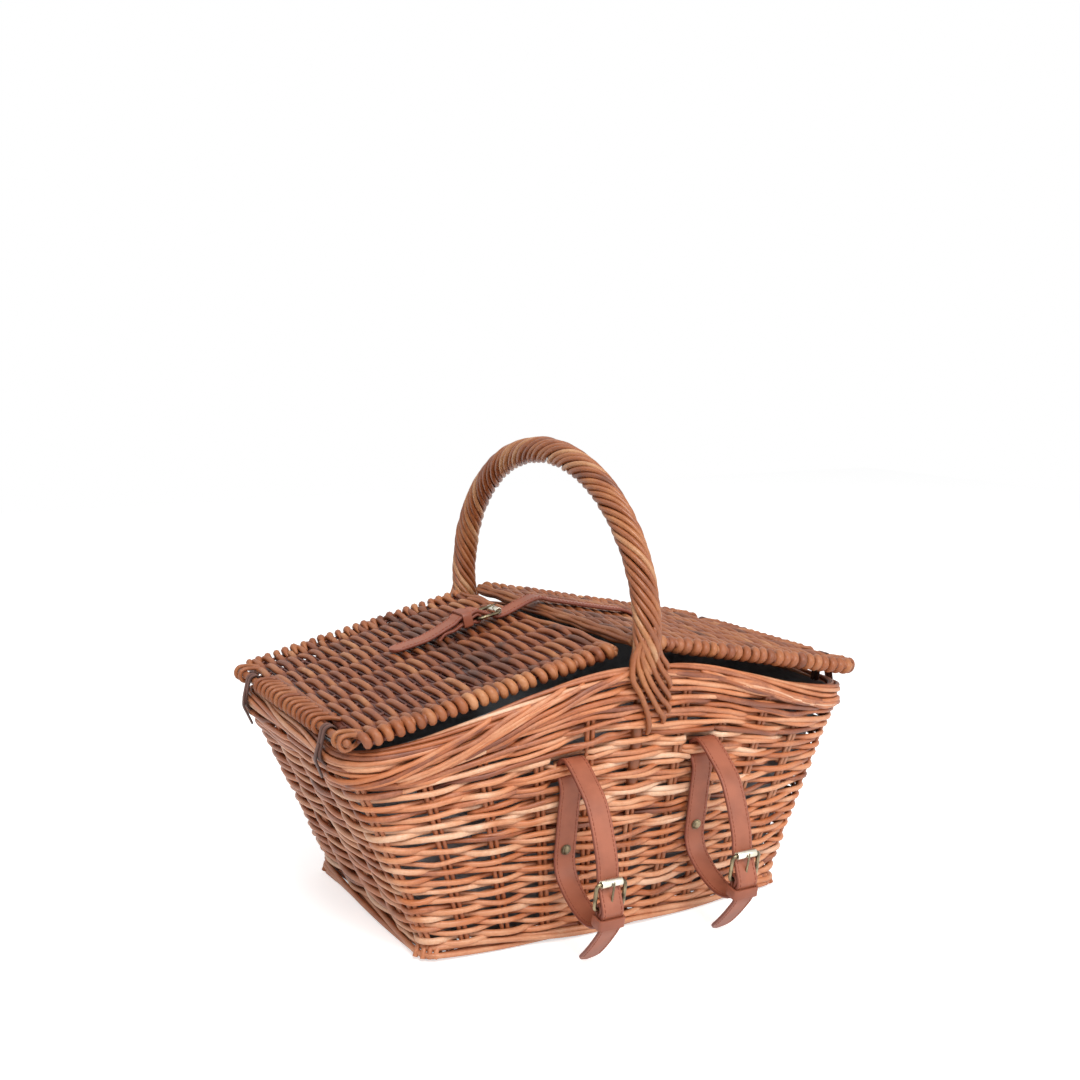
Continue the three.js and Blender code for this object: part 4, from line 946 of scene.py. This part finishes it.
def lidSticks(name):
    length = lidLength(name)
    canes = []
    for stick in range(lid["sticks"]):
        u = np.append(np.linspace(lid["stickFrom"], length, 12), length + lid["proud"] + dice.uniform(-1, 1))
        tone = np.full(len(u), dice.normal(*lid["stickTone"]))
        tone[-1] += lid["cutTone"]
        # painted shade along the sticks under the weave, none on the cut tips
        deep = np.append(np.full(len(u) - 1, lid["stickDeep"]), 0.0)
        canes.append(lidCane(name, triple(u, stickPlace(name, stick, u), 0), lid["stickRadius"], tone, deep,
                             pointed=0.12))
    # leaning ties hold the outer end to the hinge stick, apart from where the laces go round it
    reach = lid["hingeRadius"] + lid["tieRadius"] + 0.15
    far, near, inward = lid["tieFar"], lid["tieNear"], lid["tieIn"]
    around = np.linspace(lid["tieTurn"], 2 * math.pi - lid["tieTurn"], 9)
    for y in np.arange(-lid["tieReach"], lid["tieReach"] + 1, lid["tieStep"]):
        if abs(abs(y) - lid["laceY"]) < lid["laceClear"]:
            continue
        y += dice.uniform(-1.5, 1.5)
        lean = lid["tieLean"] + dice.uniform(-3, 3)
        tie = [[far, y - lean, inward], [near, y - lean * 0.6, reach * 0.85]]
        tie += [[reach * math.cos(a), y, reach * math.sin(a)] for a in around]
        tie += [[near, y + lean * 0.4, -reach * 0.85], [far, y + lean, -inward]]
        shade = dice.normal(*lid["tieTone"])
        canes.append(lidCane(name, smoothLine(tie, 3), lid["tieRadius"], shade, 0.1, pointed=0.3))
    for along, high in lid["rails"]:
        y = np.linspace(-1, 1, 30) * (lid["railReach"] - dice.uniform(0, 6))
        points = triple(along + wander(30, 0.6, 4), y, high + wander(30, 0.5, 5))
        shade = dice.normal(*lid["railTone"])
        canes.append(lidCane(name, points, lid["railRadius"], shade, 0.15, pointed=0.5))
    # border rods along the inner end
    for ahead, high in lid["border"]:
        y = np.linspace(-1, 1, 60) * lid[name]["innerHalf"] * (lid["borderReach"] + dice.uniform(-0.03, 0.0))
        points = triple(length + ahead + wander(60, 0.5, 6), y, high + wander(60, 0.5, 7))
        tone = dice.normal(*lid["borderTone"]) + wander(60, 0.06, 5)
        tone[[0, -1]] += lid["borderCut"]
        canes.append(lidCane(name, points, lid["borderRadius"], tone, 0.05))
    hinge = triple(0, np.linspace(-lid["hingeReach"], lid["hingeReach"], 20), 0)
    canes.append(lidCane(name, hinge, lid["hingeRadius"], lid["hingeTone"], 0.1, pointed=0.15))
    return canes


for name in ("left", "right"):
    body = name + "_lid"
    sticks = ["%s_stick_%d" % (body, i) for i in range(1, 7)]
    bundle(body + "_canes", lidWeave(name), 8, "lid", body, body + "_panel")
    bundle(body + "_sticks", lidSticks(name), 8, "lid", body, body + "_hinge_stick", *sticks)

# Leather
strap = {
    "width": 18, "thick": 2.4, "round": 0.7, "heelHeight": 56, "standOff": 69, "lean": 0.19,
    "slotHeight": 142.5, "bridgeTall": 7, "bridgeDeep": 3, "lie": 1.9, "rivetHeight": 79, "steps": 7,
    "leastTip": 0.12,
    "stitchFrom": 9, "stitchIn": 2.3, "stitchStep": 3.4, "stitchLong": 2.5, "stitchRadius": 0.34,
    "places": {"left": -58, "right": 60},
}
buckle = {
    "wire": 1.5, "reach": 20, "inner": 20.8, "corner": 3.2, "roller": 3.05, "rollerLong": 17, "prong": 1.0,
    "fold": 3.05, "overHeel": 6.15, "underRoller": 4.7, "layer": 2.75, "keeperPlace": 9.5, "keeperLong": 8,
    "keeperThick": 1.8, "keeperCorner": 0.9, "keeperEdge": 0.35, "keeperEnd": 13.5, "lift": 6.25, "gap": 0.35,
    "rollerWall": 0.85, "rollerHollow": 1.5, "hookGap": 0.45,
}
lidStrap = {"y": 20, "buckleX": -56, "tail": 78, "anchor": 96}


def strapSection(width, thickness):
    # rounded band: across, through, and how much of the painted edge shows
    half, thick = width / 2, thickness / 2
    quarter = [(half - 1.3, thick, 0.0), (half - strap["round"], thick, 0.55),
               (half - 0.2, thick - 0.35, 1.0), (half, 0.25, 1.0)]
    side = quarter + [(a, -n, e) for a, n, e in reversed(quarter)]
    return side + [(-a, -n, e) for a, n, e in side]


def upFrom(line, across, closed=False):
    return np.cross(np.tile(across, (len(line), 1)), tangents(line, closed))


def strapBand(name, line, across, tip=True, width=strap["width"], thickness=strap["thick"], closed=False):
    # sweeps the band's section along a line; the tongue end is rounded
    share = np.ones(len(line))
    if tip:
        near = np.clip(runAlong(line) / (width / 2), 0, 1)
        share = np.maximum(np.sqrt(1 - (1 - near) ** 2), strap["leastTip"])
    section = strapSection(width, thickness)
    points, edge = [], []
    for at, up, s in zip(line, upFrom(line, across, closed), share):
        for a, t, e in section:
            points.append((at + across * a * s + up * t) * mm)
            edge.append(e if s > 0.95 else max(e, 1 - s if abs(a) > 6 else 0))
    count = len(section)
    faces = gridFaces(len(line), count, closed)
    if not closed:
        faces += [tuple(range(count - 1, -1, -1)), tuple((len(line) - 1) * count + i for i in range(count))]
    piece = meshPiece(name, points, faces)
    store(piece, "edge", edge)
    bpy.ops.object.shade_smooth_by_angle(angle=math.radians(50))
    return piece


def stitchRow(line, across):
    # short threads that stand a little out of the band near both edges, on both faces
    run = runAlong(line)
    up = upFrom(line, across)
    inward = strap["width"] / 2 - strap["stitchIn"]
    canes = []
    for at in np.arange(strap["stitchFrom"], run[-1] - strap["stitchLong"], strap["stitchStep"]):
        spots = at + np.array([0, 0.25, 0.75, 1]) * strap["stitchLong"]
        middle, lift = sampled(spots, run, line), sampled(spots, run, up)
        stand = strap["thick"] / 2 + np.array([-0.2, 0.12, 0.12, -0.2])
        for edge in (-1, 1):
            for face in (-1, 1):
                points = middle + across * edge * inward + lift * (stand * face)[:, None]
                canes.append(cane(points, strap["stitchRadius"], 0.5))
    return canes


def strapPiece(name, line, across, body, node, tip=True):
    dress(strapBand(name % "band", line, across, tip), "strap", body, node)
    bundle(name % "stitches", stitchRow(line, across), 6, "thread", body)


def chapeFold(place):
    keeper, layer, fold = -buckle["keeperPlace"], buckle["layer"] / 2, buckle["fold"]
    points = [place(-buckle["keeperEnd"] - 1, -layer), place(keeper + 3, -layer)]
    for degrees in range(270, 89, -30):
        angle = math.radians(degrees)
        points.append(place(-fold * math.cos(angle), fold * math.sin(angle)))
    return points + [place(keeper + 3, layer), place(keeper - 3.5, layer)]


def throughBuckle(place):
    overKeeper = buckle["layer"] * 1.5 + buckle["gap"]
    overHeel, underRoller = buckle["overHeel"], -buckle["underRoller"]
    return [place(-buckle["keeperEnd"] - 1, overKeeper), place(-buckle["keeperPlace"] + 3, overKeeper),
            place(0, overHeel), place(buckle["reach"] * 0.5, between(overHeel, underRoller, 0.5)),
            place(buckle["reach"], underRoller)]


def wallUnderStrap(x, z):
    return wallFaceAt(abs(x) - strap["width"] / 2, z)


def wallTilt(x):
    return math.atan2(wallFaceAt(x, strap["slotHeight"] + 10) - wallFaceAt(x, strap["slotHeight"] - 10), 20)


def frontHeel(x):
    return wallFaceAt(x, strap["heelHeight"]) + strap["standOff"], strap["heelHeight"]


def frontRoute(x):
    # out from the middle of the basket and up, in mm
    heelOut, heelUp = frontHeel(x)
    sin, cos = math.sin(strap["lean"]), math.cos(strap["lean"])
    place = lambda p, q: (heelOut + q * cos + p * sin, heelUp - q * sin + p * cos)
    tilt = wallTilt(x)
    slotOut = wallUnderStrap(x, strap["slotHeight"])
    atSlot = lambda out, up: (slotOut + out * math.cos(tilt) + up * math.sin(tilt),
                              strap["slotHeight"] - out * math.sin(tilt) + up * math.cos(tilt))
    onFace = lambda z, lift=0: (wallUnderStrap(x, z) + strap["lie"] + lift, z)
    offHeel = lambda out, up: (heelOut + out, heelUp + up)
    behind = -strap["bridgeDeep"] - strap["lie"] - 0.5
    edge = strap["bridgeTall"] / 2
    pin = strap["rivetHeight"]
    return [
        offHeel(-31, -50), offHeel(-18, -38), offHeel(-6, -25), *throughBuckle(place),
        offHeel(-2, 32), offHeel(-6, 46), offHeel(-11, 59), offHeel(-18, 72), offHeel(-30, 83),
        atSlot(5, edge + 6), atSlot(-1.2, edge + 5), atSlot(behind, edge + 0.6), atSlot(behind, -edge - 0.6),
        atSlot(-1.2, -edge - 5), atSlot(strap["lie"], -edge - 10.5),
        onFace(pin + 34), onFace(pin + 10), onFace(pin - 10, 0.7),
        offHeel(-60, 2.5), offHeel(-51, -6), offHeel(-39, -13), offHeel(-25, -17.5), offHeel(-13, -17.5),
        *chapeFold(place),
    ]


def roundedRing(half, low, high, corner, steps):
    # round an oblong: the middle of each corner's arc and the way out from it
    ring = []
    for x, y, first in ((half, high, 0), (-half, high, 90), (-half, low, 180), (half, low, 270)):
        for degrees in np.linspace(first, first + 90, steps):
            angle = math.radians(degrees)
            ring.append((x - math.copysign(corner, x), y + (corner if y == low else -corner),
                         math.cos(angle), math.sin(angle)))
    return ring


def spread(matrix, points):
    return np.array([matrix @ Vector(p) for p in points])


def wireLoop(matrix):
    half, corner = buckle["inner"] / 2 + buckle["wire"], buckle["corner"]
    ring = roundedRing(half, 0, buckle["reach"], corner, 6)
    points = [[x + corner * c, y + corner * s, 0] for x, y, c, s in ring]
    return [cane(spread(matrix, points), buckle["wire"], 0.5, closed=True)]


def prongRod(matrix):
    # hooked round the heel bar, with its tip on the roller
    hook = buckle["wire"] + buckle["hookGap"] + buckle["prong"]
    points = []
    for degrees in range(330, 89, -20):
        angle = math.radians(degrees)
        points.append([0, hook * math.cos(angle), hook * math.sin(angle)])
    tip = buckle["roller"] + buckle["gap"] + buckle["prong"]
    reach = buckle["reach"]
    points += [[0, reach * 0.5, between(hook, tip, 0.4)], [0, reach + buckle["roller"], tip]]
    line = smoothLine(points, 3)
    size = buckle["prong"] * np.interp(np.arange(len(line)), [0, len(line) - 6, len(line) - 1], [1, 1, 0.7])
    return [cane(spread(matrix, line), size, 0.5, pointed=0.4)]


def soften(piece, width):
    pick(piece)
    bevel = piece.modifiers.new("soft edges", "BEVEL")
    bevel.width = width * mm
    bevel.segments = 2
    bevel.limit_method = "ANGLE"
    bpy.ops.object.modifier_apply(modifier=bevel.name)
    bpy.ops.object.shade_smooth_by_angle(angle=math.radians(40))


def startDisc(name, sides, radius, depth, wanted):
    # a cylinder on Z in edit mode, with the wanted end faces selected
    deselect()
    bpy.ops.mesh.primitive_cylinder_add(vertices=sides, radius=radius * mm, depth=depth * mm)
    piece = bpy.context.object
    piece.name = piece.data.name = name
    bpy.ops.object.mode_set(mode="EDIT")
    bpy.ops.mesh.select_mode(type="FACE")
    bpy.ops.mesh.select_all(action="DESELECT")
    bpy.ops.object.mode_set(mode="OBJECT")
    for face in piece.data.polygons:
        face.select = wanted(face.normal.z)
    bpy.ops.object.mode_set(mode="EDIT")
    return piece


def rollerTube(name, matrix):
    piece = startDisc(name, 36, buckle["roller"], buckle["rollerLong"], lambda z: abs(z) > 0.9)
    bpy.ops.mesh.inset(thickness=buckle["rollerWall"] * mm)
    sink = {"value": -buckle["rollerHollow"] * mm}
    bpy.ops.mesh.extrude_region_shrink_fatten(TRANSFORM_OT_shrink_fatten=sink)
    bpy.ops.object.mode_set(mode="OBJECT")
    soften(piece, 0.3)
    placed = matrix.copy()
    placed.translation = matrix.translation * mm
    turn = Matrix.Rotation(math.pi / 2, 4, "Y")
    piece.data.transform(placed @ Matrix.Translation((0, buckle["reach"] * mm, 0)) @ turn)
    return piece


def keeperBand(name, matrix):
    # a leather loop round the strap's three layers
    half = strap["width"] / 2 + buckle["gap"]
    low = -buckle["layer"] / 2 - strap["thick"] / 2 - buckle["gap"]
    high = buckle["layer"] * 1.5 + strap["thick"] / 2 + buckle["gap"] * 3
    near, far = buckle["keeperCorner"], buckle["keeperCorner"] + buckle["keeperThick"]
    y0, y1 = (-buckle["keeperPlace"] + way * buckle["keeperLong"] / 2 for way in (-1, 1))
    ring = roundedRing(half, low, high, near, 4)
    section = ((y0, near), (y1, near), (y1, far), (y0, far))
    corners = [Vector((x + c * out, y, z + s * out)) for x, z, c, s in ring for y, out in section]
    points = [matrix @ corner * mm for corner in corners]
    piece = meshPiece(name, points, gridFaces(len(ring), len(section), True))
    store(piece, "edge", [buckle["keeperEdge"]] * len(points))
    soften(piece, 0.45)
    return piece


def makeBuckle(prefix, matrix, body):
    bundle(prefix + "_frame_wire", wireLoop(matrix), 12, "brass", body, prefix + "_buckle_frame")
    bundle(prefix + "_prong_wire", prongRod(matrix), 10, "brass", prefix + "_prong", prefix + "_buckle_prong")
    tube = rollerTube(prefix + "_roller_tube", matrix)
    dress(tube, "roller", prefix + "_roller", prefix + "_buckle_roller")
    dress(keeperBand(prefix + "_keeper_band", matrix), "strap", body, prefix + "_keeper")


rivet = {"radius": 4.2, "washer": 0.7, "dome": ((0.7, 0.0), (0.05, 0.75), (0.9, 0.42), (1.1, 0.22))}


def rivetHead(name, x):
    # domed cap on a thin washer, set flat on the strap
    piece = startDisc(name, 32, rivet["radius"], rivet["washer"], lambda z: z > 0.9)
    for inward, rise in rivet["dome"]:
        bpy.ops.mesh.inset(thickness=inward * mm)
        bpy.ops.transform.translate(value=(0, 0, rise * mm))
    bpy.ops.object.mode_set(mode="OBJECT")
    soften(piece, 0.2)
    z = strap["rivetHeight"]
    stand = wallUnderStrap(x, z) + strap["lie"] + strap["thick"] / 2 + rivet["washer"] / 2
    turn = Matrix.Rotation(math.pi / 2 + wallTilt(x), 4, "X")
    piece.data.transform(Matrix.Translation((x * mm, -stand * mm, z * mm)) @ turn)
    return piece


for name, x in strap["places"].items():
    route = smoothLine([[x, -out, up] for out, up in frontRoute(x)], strap["steps"])
    strapPiece("front_strap_%s_" + name, route, np.array([-1.0, 0, 0]), "basket", "front_strap_" + name)
    heelOut, heelUp = frontHeel(x)
    sin, cos = math.sin(strap["lean"]), math.cos(strap["lean"])
    matrix = Matrix(((1, 0, 0, x), (0, -sin, -cos, -heelOut), (0, cos, -sin, heelUp), (0, 0, 0, 1)))
    makeBuckle("front_" + name, matrix, "basket")
    dress(rivetHead("front_%s_rivet_cap" % name, x), "brass", "basket", "front_%s_rivet" % name)


def lidTopAt(name, x):
    slope, _ = lidShape(name)
    rise = math.tan(slope) * (lid["hingeX"] - abs(x))
    return lid[name]["hingeHeight"] + rise + lid["top"] / math.cos(slope)


def lidPlace(p, q):
    slope, _ = lidShape("left")
    lift = buckle["lift"] + q
    return (lidStrap["buckleX"] + p * math.cos(slope) - lift * math.sin(slope),
            lidTopAt("left", lidStrap["buckleX"]) + p * math.sin(slope) + lift * math.cos(slope))


lie = -buckle["lift"] + buckle["gap"] + strap["thick"] / 2
chapeRoute = [lidPlace(-37, -buckle["lift"] - 2), lidPlace(-35.5, -buckle["lift"] - 1),
              lidPlace(-31, lie + 0.5), lidPlace(-22, lie + 0.9), *chapeFold(lidPlace)]
flat = buckle["gap"] + strap["thick"] / 2 + 0.3
anchor = lidStrap["anchor"]
onRight = lambda x, lift: (x, lidTopAt("right", x) + lift)
billetRoute = [
    lidPlace(-lidStrap["tail"], lie + 0.2), lidPlace(-60, lie + 0.2), lidPlace(-47, lie + 0.4),
    lidPlace(-37, lie + 2.2), lidPlace(-27, lie + 4.6), lidPlace(-20, lie + 6.3), *throughBuckle(lidPlace),
    onRight(0, flat + 0.6), onRight(lid["right"]["innerX"] + 6, flat + 0.4), onRight(40, flat),
    onRight(70, flat), onRight(anchor - 9, flat + 0.2), onRight(anchor - 1.5, -0.6), onRight(anchor, -2),
]
for name, route, body in (("chape", chapeRoute, "left_lid"), ("billet", billetRoute, "right_lid")):
    line = smoothLine([[x, lidStrap["y"], z] for x, z in route], strap["steps"])
    node = "lid_strap_" + name
    strapPiece(node + "_%s", line, np.array([0, -1.0, 0]), body, node, tip=name == "billet")
slope, _ = lidShape("left")
heelX, heelZ = lidPlace(0, 0)
matrix = Matrix(((0, math.cos(slope), -math.sin(slope), heelX), (-1, 0, 0, lidStrap["y"]),
                 (0, math.sin(slope), math.cos(slope), heelZ), (0, 0, 0, 1)))
makeBuckle("lid_strap", matrix, "left_lid")

# Thongs that tie the lids to the end rims
thong = {
    "width": 5.0, "thick": 1.5, "rimOut": 8.3, "stickOut": 4.75, "apart": 5.2, "tail": 21, "tailTop": 5,
    "tailGap": 0.9, "lean": 0.35, "leanFrom": 172, "leanOver": 20, "tailLean": 1.1,
}


def laceLoop(side, hinge, y, lean):
    # a belt round the rim and the hinge stick
    low = tub["rimEndHeight"] - tub["rimRoll"] / 2
    slant = math.asin((thong["rimOut"] - thong["stickOut"]) / (hinge - low))
    high = [(thong["stickOut"], hinge, a) for a in np.linspace(slant, math.pi - slant, 9)]
    under = [(thong["rimOut"], low, a) for a in np.linspace(math.pi - slant, 2 * math.pi + slant, 15)]
    points = []
    for radius, centre, angle in high + under:
        z = centre + radius * math.sin(angle)
        shift = lean * (z - thong["leanFrom"]) / thong["leanOver"]
        points.append([side * lid["hingeX"] + radius * math.cos(angle), y + shift, z])
    return np.array(points)


def laceTail(side, y, lean):
    # the knotted end that hangs down outside the wall
    top = tub["rimEndHeight"] - thong["tailTop"]
    out = side * (lid["hingeX"] + thong["rimOut"] + thong["tailGap"])
    points = [[out - side * 1.6, y, top + 6], [out, y + lean, top], [out + side * 0.6, y + lean * 2, top - 6],
              [out - side * 2.0, y + lean * 3.2, top - thong["tail"] * 0.6],
              [out - side * 5.5, y + lean * 4.4, top - thong["tail"]]]
    return smoothLine(points, 5)


def laceBand(name, line, closed):
    return strapBand(name, line, np.array([0, 1.0, 0]), not closed, thong["width"], thong["thick"], closed)


for sideName, side in (("left", -1), ("right", 1)):
    for endName, end in (("front", -1), ("back", 1)):
        name = "%s_hinge_lace_%s" % (sideName, endName)
        y, hinge = end * lid["laceY"], lid[sideName]["hingeHeight"]
        parts = []
        for k in (-1, 1):
            loop = laceLoop(side, hinge, y + k * thong["apart"] / 2, k * thong["lean"])
            parts.append(laceBand(name, loop, True))
        parts.append(laceBand(name, laceTail(side, y, -end * thong["tailLean"])[::-1], False))
        pick(*parts)
        bpy.ops.object.join()
        dress(parts[0], "thong", "basket", "%s_hinge_thong_%s" % (sideName, endName))
print("object made")

# Stage: white sweep, soft lamps, the photograph's camera
stage = {
    "floor": 6.0, "floorDrop": 0.0004, "paper": "#f4f4f4", "paperGlow": 0.6, "fill": 0.39,
    "camera": (-0.5628, -1.0232, 0.4543), "azimuth": -28.6, "pitch": 7.9, "lens": 47.26, "sensor": 36,
    "aim": (0, 0, 0.15),
    "lamps": {
        "key": {"place": (-0.35, -1.5, 1.7), "size": 1.0, "power": 34.5},
        "fill": {"place": (0.9, -1.6, 0.8), "size": 1.2, "power": 10.5},
        "top": {"place": (-0.5, 0.2, 1.9), "size": 1.3, "power": 7.5},
    },
}


def seenAs(tree, plain, bright):
    # plain lights the object, bright is what is seen, also in shiny and clear things
    sight = addNode(tree, "LightPath", {}).node.outputs
    seen = sums(tree, "MAXIMUM", sight["Is Camera Ray"], sight["Is Glossy Ray"])
    seen = sums(tree, "MAXIMUM", seen, sight["Is Transmission Ray"])
    return addNode(tree, "MixShader", {0: seen, 1: plain, 2: bright})


def emits(tree, kind, strength):
    return addNode(tree, kind, {"Color": (1, 1, 1, 1), "Strength": strength})


def aimed(name, data, place, toward):
    holder = bpy.data.objects.new(name, data)
    holder.location = place
    holder.rotation_mode = "QUATERNION"
    holder.rotation_quaternion = toward.to_track_quat("-Z", "Y")
    bpy.context.scene.collection.objects.link(holder)
    return holder


deselect()
bpy.ops.mesh.primitive_plane_add(size=stage["floor"], location=(0, 0, -stage["floorDrop"]))
floor = bpy.context.object
floor.name = "floor"
paper = bpy.data.materials.new("white paper sweep")
tree = clearTree(paper)
matt = addNode(tree, "BsdfDiffuse", {"Color": linear(stage["paper"])})
lit = addNode(tree, "AddShader", {0: matt, 1: emits(tree, "Emission", stage["paperGlow"])})
addNode(tree, "OutputMaterial", {"Surface": seenAs(tree, matt, lit)})
floor.data.materials.append(paper)

world = bpy.data.worlds.new("studio")
bpy.context.scene.world = world
tree = clearTree(world)
fill, white = (emits(tree, "Background", strength) for strength in (stage["fill"], 1.0))
addNode(tree, "OutputWorld", {"Surface": seenAs(tree, fill, white)})

for name, lamp in stage["lamps"].items():
    light = bpy.data.lights.new(name, "AREA")
    light.size = lamp["size"]
    light.energy = lamp["power"]
    aimed(name, light, lamp["place"], Vector(stage["aim"]) - Vector(lamp["place"]))

cameraData = bpy.data.cameras.new("camera")
cameraData.lens = stage["lens"]
cameraData.sensor_width = stage["sensor"]
azimuth, pitch = math.radians(stage["azimuth"]), math.radians(stage["pitch"])
back = Vector((math.sin(azimuth) * math.cos(pitch), -math.cos(azimuth) * math.cos(pitch), math.sin(pitch)))
bpy.context.scene.camera = aimed("camera", cameraData, stage["camera"], -back)
bpy.context.scene.view_settings.view_transform = "Standard"
print("stage set")
